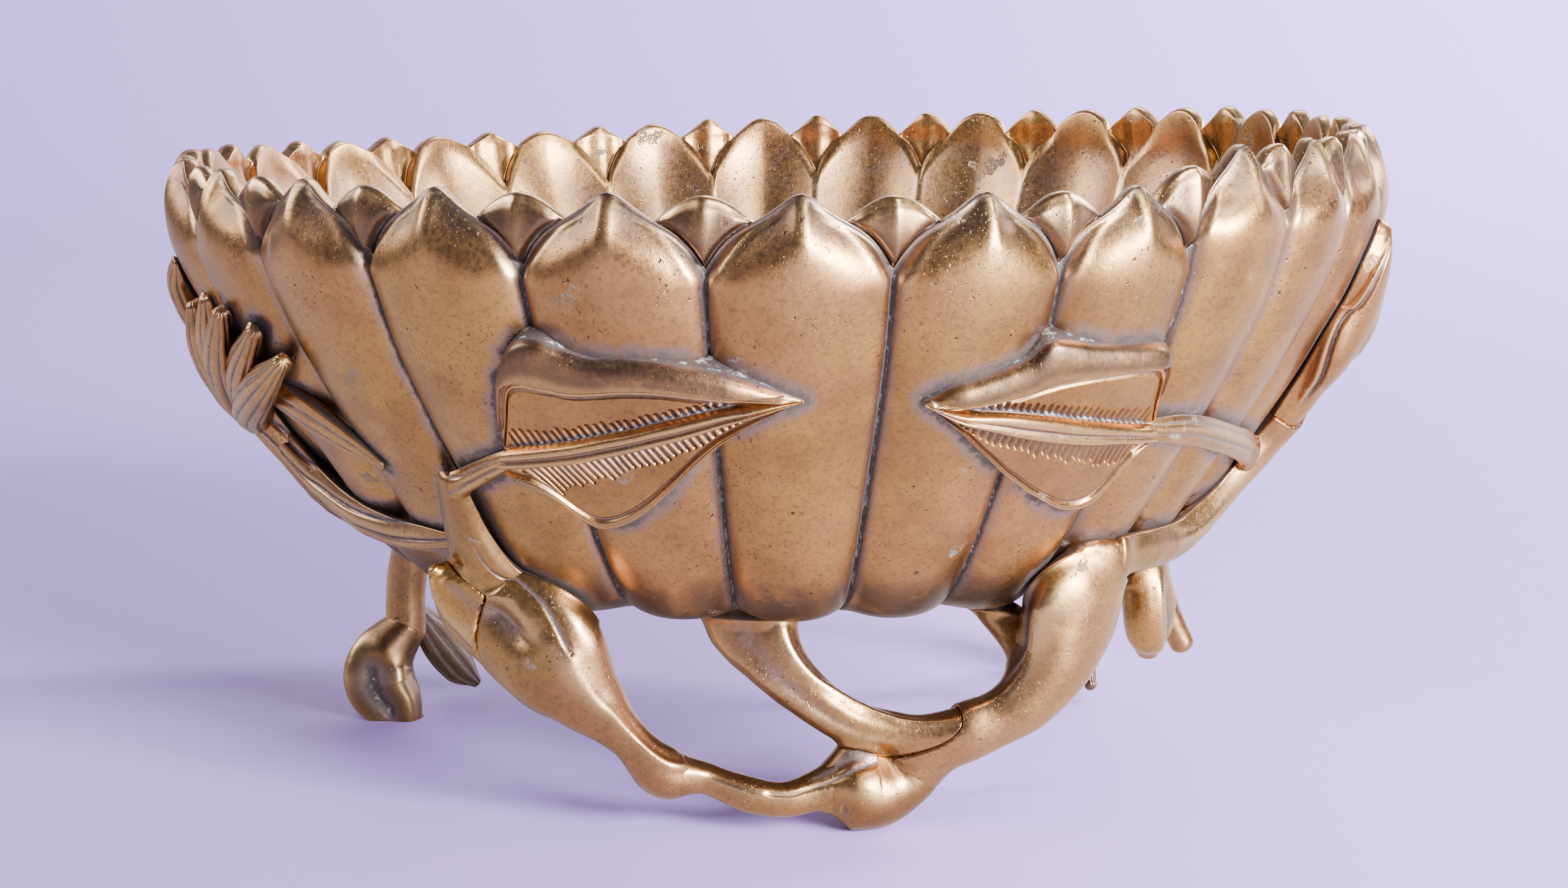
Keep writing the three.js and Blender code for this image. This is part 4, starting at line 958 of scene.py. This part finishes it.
def trace(t, v, places, wide, soft=0.04):
    # A mark along a line of (t, v) places on a stem, wide degrees to each side
    at, turn = zip(*places)
    return hump(v, np.interp(t, at, turn), wide) * span(t, at[0], at[-1], soft)


def legFace(t, v):
    # The left leg: a crack under a raised band, a scoop beside the thorn, and a bright crest. The
    # scoop is darkened as painted shade, and the crest, the scoop's rim, the band and the heel
    # carry a painted highlight with some wear.
    crack = trace(t, v, ((0.13, 228), (0.26, 222), (0.39, 219), (0.52, 231)), 3.2)
    band = trace(t, v, ((0.1, 195), (0.3, 203), (0.41, 204), (0.51, 208)), 12)
    scoop = trace(t, v, ((0.2, 302), (0.29, 290), (0.35, 272), (0.43, 262)), 19, 0.05)
    rim = trace(t, v, ((0.16, 280), (0.28, 270), (0.33, 250), (0.45, 246)), 8, 0.06)
    ridge = trace(t, v, ((0.5, 236), (0.58, 243), (0.69, 240), (0.74, 231), (1.2, 226)), 13,
                  0.06)
    second = trace(t, v, ((0.42, 305), (0.6, 300), (0.9, 290)), 16, 0.08)
    heel = hump(v, 20, 42) * line(t - 0.97, 0.07)
    swell = (0.7 * ridge + 0.3 * rim - 2.0 * scoop - 0.4 * crack + 0.2 * band + 0.4 * second
             + 1.0 * heel)
    groove = np.maximum(0.6 * scoop, crack)
    return swell, groove, np.maximum.reduce([0.9 * ridge, 0.6 * rim, 0.5 * band, 0.8 * heel])


def thornFace(t, v):
    # A sharp ridge down the thorn, with a dark hollow between it and the leg. The hollow's
    # darkening is painted shade, and the ridge carries a painted highlight with some wear.
    ridge = trace(t, v, ((0.2, 268), (0.35, 264), (0.48, 255), (0.66, 250), (0.95, 280)), 14)
    hollow = trace(t, v, ((0.1, 290), (0.34, 300), (0.55, 314), (0.81, 335)), 22)
    return 1.2 * ridge - 0.6 * hollow, 0.5 * hollow, ridge


def plainRidge(centre, wide, height, low=0.1, high=0.9):
    # A ridge along a stem, with a painted highlight with some wear on it.
    def shape(t, v):
        ridge = hump(v, centre, wide) * span(t, low, high, 0.1)
        return height * ridge, 0 * ridge, 0.9 * ridge
    return shape


def crossFace(t, v):
    # A crest with a flat dark facet to the left of it, and a bright left edge. The facet's
    # darkening is painted shade, and the crest and the edge carry a painted highlight with some
    # wear.
    ridge = trace(t, v, ((0, 236), (0.4, 231), (0.51, 225), (0.6, 208), (0.67, 208),
                         (0.78, 222), (1.1, 228)), 14)
    facet = hump(v, 282, 26) * (1 - smooth(t, 0.55, 0.85))
    edge = trace(t, v, ((0, 335), (0.32, 322), (0.5, 300), (0.8, 290)), 12)
    return (0.8 * ridge + 0.3 * edge - 0.8 * facet, 0.45 * facet,
            np.maximum(0.9 * ridge, 0.5 * edge))


def ringFace(t, v):
    # A soft crest, and the start of the foot's crack near the right end. The crest carries a
    # painted highlight with some wear, and the facet near the right end is darkened as painted
    # shade.
    ridge = hump(v, 238, 20) * span(t, 0, 1.1, 0.1)
    crack = trace(t, v, ((0.55, 240), (0.75, 243), (1.1, 238)), 4.5)
    facet = trace(t, v, ((0.86, 216), (1.2, 212)), 14)
    return (0.4 * ridge * (1 - crack) - 0.3 * crack, np.maximum(crack, 0.8 * facet),
            0.9 * ridge * (1 - facet))


def footFace(t, v):
    # A knotted foot: a notch below its left end, a dark facet above a long crack. The notch and
    # the facet are darkened as painted shade, and a stripe along the foot carries a painted
    # highlight.
    notch = hump(v, 305, 20) * line(t - 0.12, 0.05)
    facet = trace(t, v, ((-0.1, 216), (0.21, 211), (0.36, 203), (0.6, 184), (0.8, 166)), 14)
    crack = trace(t, v, ((-0.1, 240), (0.21, 234), (0.32, 225), (0.64, 201), (0.88, 160)), 4.5)
    swell = -1.2 * notch - 0.7 * facet - 0.4 * crack
    return swell, np.maximum.reduce([0.7 * notch, 0.8 * facet, crack]), 0.5 * hump(v, 262, 14)


def rightLegFace(t, v):
    # A crest down its inner side, with a line where the strut and the bowl join it. The crest and
    # a stripe on its back carry a painted highlight with some wear.
    crest = ((0, 150), (0.11, 165), (0.24, 206), (0.36, 202), (0.53, 190), (0.81, 200))
    ridge = trace(t, v, crest, 18, 0.08)
    back = hump(v, 300, 24) * span(t, 0.2, 0.95, 0.1)
    inner = hump(v, 160, 20) * span(t, 0.45, 1.0, 0.1)
    return 0.6 * ridge + 0.3 * back - 0.7 * inner, 0.7 * inner, np.maximum(ridge, 0.5 * back)


def budFolds(t, v):
    # Wrapped petals of a bud: three folds that wind round it, each with a raised edge, which
    # carries a painted highlight with some wear.
    phase = np.mod(v + 70 * np.sin(np.pi * t) - 40 * t, 120) / 120
    edge = line(phase - 0.82, 0.07) * span(t, 0.12, 0.97, 0.08)
    fold = line(phase - 0.95, 0.045) * span(t, 0.12, 0.97, 0.08)
    return 0.7 * edge - 0.8 * fold, fold, 0.9 * edge


def hangingFace(t, v):
    # A closed bud with a hollow between its two front petals. The hollow's darkening is painted
    # shade, and the lips carry a painted highlight with some wear.
    hollow = hump(v, 270, 22) * span(t, 0.35, 0.85, 0.15)
    lips = (hump(v, 240, 14) + hump(v, 300, 14)) * span(t, 0.2, 0.95, 0.12)
    return 0.5 * lips - 0.9 * hollow, 0.9 * hollow, 0.8 * lips


def fibres(count, depth, winding):
    # Strands along a stalk: a groove at every 360 / count degrees, winding with t, and a painted
    # highlight down its outer side between the grooves
    def shape(t, v):
        phase = np.mod((v + winding * t) * count / 360, 1) - 0.5
        cut = line(phase, 0.16)
        return -depth * cut, 0.9 * cut, 0.5 * (1 - cut) * hump(v, 270, 70)
    return shape


def frontStems():
    # Each is a stretch of a chain, with its rows, sides, marks and the stems it flows into
    for node, finish, chain, first, last, rows, sides, shape, beside, reach in (
            ("front_left_leg", "stem", "loop", 0, 7.4, 320, 150, legFace, ["thorn"], 6),
            ("front_ring_stem", "stem", "loop", 7.4, 11.2, 90, 72, ringFace, [], 4),
            ("front_foot", "shadedRecess", "loop", 11.2, 14.4, 110, 84, footFace, ["cross"], 4),
            ("front_right_leg", "stem", "loop", 14.4, 21, 200, 110, rightLegFace,
             ["cross", "strut", "budStem", "hanging"], 6),
            ("front_left_thorn", "relief", "thorn", 0, None, 110, 72, thornFace, ["loop"], 6),
            ("front_cross_stem", "stem", "cross", 0, None, 170, 80, crossFace, ["loop"], 4),
            ("front_right_strut", "stem", "strut", 0, None, 70, 64, None, ["loop"], 5),
            ("right_bud_stem", "stem", "budStem", 0, None, 180, 84,
             plainRidge(270, 22, 0.4, 0.25, 1.1), ["loop", "hanging", "end", "bud"], 4),
            ("right_bud", "relief", "bud", 0, None, 160, 110, budFolds, ["budStem"], 2),
            ("hanging_bud", "relief", "hanging", 0, None, 110, 90, hangingFace,
             ["loop", "budStem", "end"], 4),
            ("hanging_stem_end", "stem", "end", 0, None, 70, 56, None,
             ["budStem", "hanging"], 3)):
        addPiece(node, finish, [stem(chains[chain], first, last, rows, sides, shape, beside,
                                     reach)])


def band(t, v):
    # A flat stalk with two lines along it, and two painted highlights with some wear along its
    # face
    lines = hump(v, 244, 9) + hump(v, 292, 9)
    return -0.4 * lines, 0.75 * lines, 0.7 * (hump(v, 268, 9) + hump(v, 225, 12))


def leafStems():
    # Each leaf's stalk goes on from the rib's lines, and runs on the wall to its stem
    for node, places, beside in (
            ("front_left_leaf_stem",
             [(-25.0, 68.0, 1.1), (-27, 67.3, 1.5), (-30, 65.2, 1.9), (-33.7, 62.6, 2.1),
              (-36.1, 61.0, 2.0), (-37.2, 58.6, 1.7)], ["loop"]),
            ("front_right_leaf_stem",
             [(37.2, 70.6, 1.4), (39.4, 70.5, 2.1), (43.5, 70, 2.7), (48.6, 68.4, 2.8),
              (55.6, 65.6, 2.8), (63, 62.8, 3.0), (70, 60, 3.2)], ["budStem"]),
            ("right_rear_leaf_stem",
             [(162, 67.6, 1.4), (158, 66.6, 2.1), (152, 63, 2.3), (142, 54, 2.5),
              (131.5, 42, 2.6)], []),
            ("left_rear_leaf_stem",
             [(226.6, 69.8, 1.4), (230, 69.2, 2.1), (238, 65, 2.4), (248, 55, 2.5),
              (257, 42, 2.6)], [])):
        stations = onWall(*((angle, z, 0.5 if place else -0.7, half, 0.9 + 0.3 * half)
                            for place, (angle, z, half) in enumerate(places)))
        addPiece(node, "relief", [stem(stations, rows=150, sides=84, shape=band, beside=beside,
                                       reach=3, bowlReach=1.2)])


def curled(t, v):
    # A leaf rolled up: a dark hollow at one side, with its raised edge round it. The hollow's
    # darkening is painted shade, and the edge carries a painted highlight with some wear.
    hollow = hump(v, 180, 34) * span(t, 0.3, 0.9, 0.15)
    edge = (hump(v, 232, 16) + hump(v, 128, 16)) * span(t, 0.2, 0.95, 0.12)
    return 0.8 * edge - 2.6 * hollow, hollow, 0.7 * edge


def rearParts(side, angle):
    # Stations by their angle from the leg's: the leg, its curled foot and the leaf beside it
    leg = [(0, 69, 43, 4.2, 3.85), (0, 71, 34, 3.85, 3.5), (0, 72.4, 26, 3.5, 3.5),
           (0, 72.6, 17, 3.6, 3.6)]
    foot = [(0, 72.8, 17.8, 3.9, 3.9), (0.6, 76.8, 12.6, 6.0, 5.9), (1, 77.8, 7.6, 7.0, 6.6),
            (0.6, 75.4, 3.0, 5.9, 5.6), (0, 73.8, -1.6, 4.2, 3.9)]
    web = [(-1.4, 71.4, 20, 2.6, 1.9), (-6.4, 69.6, 14, 5.0, 2.3), (-12, 68.4, 7.4, 4.2, 2.0),
           (-16, 67.6, 3.0, 1.4, 1.2)]
    # The last number is painted shade, darkest on the web and the foot low under the bowl.
    for label, finish, rows, count, sides, shape, shade in (
            ("leg", "stem", leg, 90, 60, plainRidge(250, 18, 0.5, 0.0, 1.1), 0.35),
            ("foot", "shadedRecess", foot, 130, 84, curled, 0.6),
            ("web_leaf", "shadedRecess", web, 90, 60, fibres(9, 0.3, 0), 0.9)):
        stations = offWall(*((angle + by, *rest) for by, *rest in rows))
        addPiece(f"{side}_rear_{label}", finish, [
            stem(stations, rows=count, sides=sides, shape=shape, shade=shade)])


def flower():
    stalk = offWall((-98, 72, 38, 3.2, 3.0)) + onWall(
        (-89, 43.5, 0.8, 3.4, 3.2), (-80.5, 50.5, 1.3, 3.6, 3.2), (-75, 58.5, 1.8, 3.6, 3.2),
        (-72.6, 67.5, 2.4, 3.4, 3.4))
    strand = onWall((-41.6, 49.6, -0.4, 2.0, 1.6), (-47, 49.4, 0.3, 2.7, 2.0),
                    (-54, 49.4, 0.6, 3.0, 2.2), (-61.5, 50.8, 0.8, 3.2, 2.4),
                    (-69, 54.6, 1.1, 3.3, 2.6), (-73, 61, 1.6, 3.0, 2.8))
    addPiece("left_flower_stalk", "stem", [
        stem(stations, rows=150, sides=84, shape=fibres(6, 0.6, winding))
        for stations, winding in ((stalk, 130), (strand, 60))])
    # The flower's petals spread from one place, each by its tip, and every second one is
    # prouder
    petals = []
    wide = 3.3
    foot = (-74, 66)
    for i, (angle, z) in enumerate([(-75, 83), (-70, 86.6), (-65, 88), (-60, 87.4),
                                    (-55.6, 84.6), (-52, 80.6)]):
        proud = 1.9 + (i % 2) * 1.1
        stations = onWall(
            (*foot, 3.6, wide * 0.7, wide * 0.8),
            (mix(foot[0], angle, 0.36), mix(foot[1], z, 0.33), proud + 1.2, wide, wide),
            (mix(foot[0], angle, 0.74), mix(foot[1], z, 0.7), proud + 0.8, wide * 1.1,
             wide * 0.9),
            (angle, z, proud - 1, wide * 0.42, wide * 0.45))
        petals.append(stem(stations, rows=80, sides=56, shape=fibres(9, 0.34, 0)))
    addPiece("left_flower", "relief", petals)
    narrow = onWall((-67, 72, 0.9, 2.4, 1.8), (-60.5, 74, 0.3, 3.6, 1.6),
                    (-55, 70.8, 0.1, 3.8, 1.5), (-50.4, 66.6, 0.0, 2.9, 1.4),
                    (-46.8, 62.6, -0.1, 0.8, 0.9))
    curl = onWall((-78.4, 75, 2.4, 2.4, 2.2), (-79.4, 83, 2.2, 3.8, 2.6),
                  (-76.6, 89.6, 1.4, 3.2, 2.2), (-74.6, 92.6, 0.2, 1.0, 1.0))
    for node, stations, shape in (("left_narrow_leaf", narrow, fibres(9, 0.5, 45)),
                                  ("left_curled_leaf", curl, fibres(8, 0.35, 40))):
        addPiece(node, "relief", [stem(stations, rows=120, sides=60, shape=shape)])


frontStems()
leafStems()
for side, angle in rearLegs.items():
    rearParts(side, angle)
flower()
print("stems made")
bowl(np.concatenate(contactPlaces))
print("bowl made")


backdropPlan = {
    "floor": 1.6, "back": 0.9, "height": 1.1, "bend": 0.5,
    "colour": (0.52, 0.36, 1.0), "reflected": (0.56, 0.52, 0.60),
}


def backdrop():
    # A floor that turns up behind the bowl in a quarter circle
    p = backdropPlan
    turn = np.linspace(0, np.pi / 2, 24)
    arcY = p["back"] + p["bend"] * np.sin(turn)
    arcZ = p["bend"] * (1 - np.cos(turn))
    profileY = np.concatenate([[-p["floor"] * 1.5], arcY, [arcY[-1]]])
    profileZ = np.concatenate([[0], arcZ, [p["height"] + p["bend"]]])
    x = np.linspace(-2.4, 2.4, 3)
    grid = np.stack(np.broadcast_arrays(x[None, :], profileY[:, None], profileZ[:, None]), -1)
    rows, count = grid.shape[:2]
    k, j = np.meshgrid(np.arange(rows - 1), np.arange(count - 1), indexing="ij")
    faces = np.stack([k * count + j, k * count + j + 1, (k + 1) * count + j + 1,
                      (k + 1) * count + j], -1).reshape(-1, 4)
    mesh = bpy.data.meshes.new("studioSweep")
    mesh.from_pydata(grid.reshape(-1, 3).tolist(), [], faces.tolist())
    mesh.polygons.foreach_set("use_smooth", np.ones(len(faces), bool))
    piece = bpy.data.objects.new("studioSweep", mesh)
    bpy.context.scene.collection.objects.link(piece)
    material = bpy.data.materials.new("paleSweep")
    material.use_nodes = True
    tree = material.node_tree
    shader = tree.nodes["Principled BSDF"]
    seen = addNode(tree, "ShaderNodeLightPath").outputs["Is Camera Ray"]
    colour = blendColour(tree, seen, (*p["reflected"], 1), (*p["colour"], 1))
    tree.links.new(colour, shader.inputs["Base Color"])
    shader.inputs["Roughness"].default_value = 0.6
    mesh.materials.append(material)


studio = {
    "world": (0.46, 0.46, 0.78), "worldStrength": 0.26,
    "lamps": [
        # place, aimed at, size, power, colour, and whether it lights the floor: a window at
        # the front right, a small spot, a left card, one on the sweep's right, one behind
        ((0.80, -0.93, 0.42), (0, 0, 0.04), (0.6, 0.5), 86.0, (1.0, 0.98, 0.98), True),
        ((0.5, -0.5, 1.0), (0, 0, 0.06), (0.2, 0.2), 6.0, (1.0, 0.97, 0.97), False),
        ((-0.9, 0.05, 0.62), (0, 0, 0.06), (0.9, 0.5), 13.0, (0.98, 0.96, 1.0), False),
        ((1.4, 0.7, 1.0), (1.0, 1.45, 0.35), (0.5, 0.5), 98.0, (0.98, 0.97, 1.0), True),
        ((0.2, 0.8, 1.0), (0.1, 0.1, 0.05), (0.5, 0.3), 6.0, (0.98, 0.97, 1.0), False),
    ],
}
cameraPlan = {"place": (0.00116, -0.55, 0.14685), "pitch": 80.59, "lens": 68.94}


def lights():
    scene = bpy.context.scene
    world = bpy.data.worlds.new("studioWorld")
    world.use_nodes = True
    sky = world.node_tree.nodes["Background"]
    sky.inputs[0].default_value = (*studio["world"], 1)
    sky.inputs[1].default_value = studio["worldStrength"]
    scene.world = world
    for index, (place, target, size, power, colour, onFloor) in enumerate(studio["lamps"]):
        lamp = bpy.data.lights.new(f"softbox{index}", "AREA")
        lamp.shape = "RECTANGLE"
        lamp.size, lamp.size_y = size
        lamp.energy = power
        lamp.color = colour
        holder = bpy.data.objects.new(f"softbox{index}", lamp)
        holder.visible_diffuse = onFloor
        scene.collection.objects.link(holder)
        toward = unit(np.array(target) - np.array(place))
        holder.location = place
        holder.rotation_mode = "XYZ"
        holder.rotation_euler = (np.arccos(-toward[2]), 0, np.arctan2(toward[1], toward[0])
                                 - np.pi / 2)


def camera():
    data = bpy.data.cameras.new("photoCamera")
    data.lens = cameraPlan["lens"]
    data.sensor_width = 36
    data.sensor_fit = "HORIZONTAL"
    holder = bpy.data.objects.new("photoCamera", data)
    holder.location = cameraPlan["place"]
    holder.rotation_euler = (np.radians(cameraPlan["pitch"]), 0, 0)
    bpy.context.scene.collection.objects.link(holder)
    bpy.context.scene.camera = holder


backdrop()
lights()
camera()
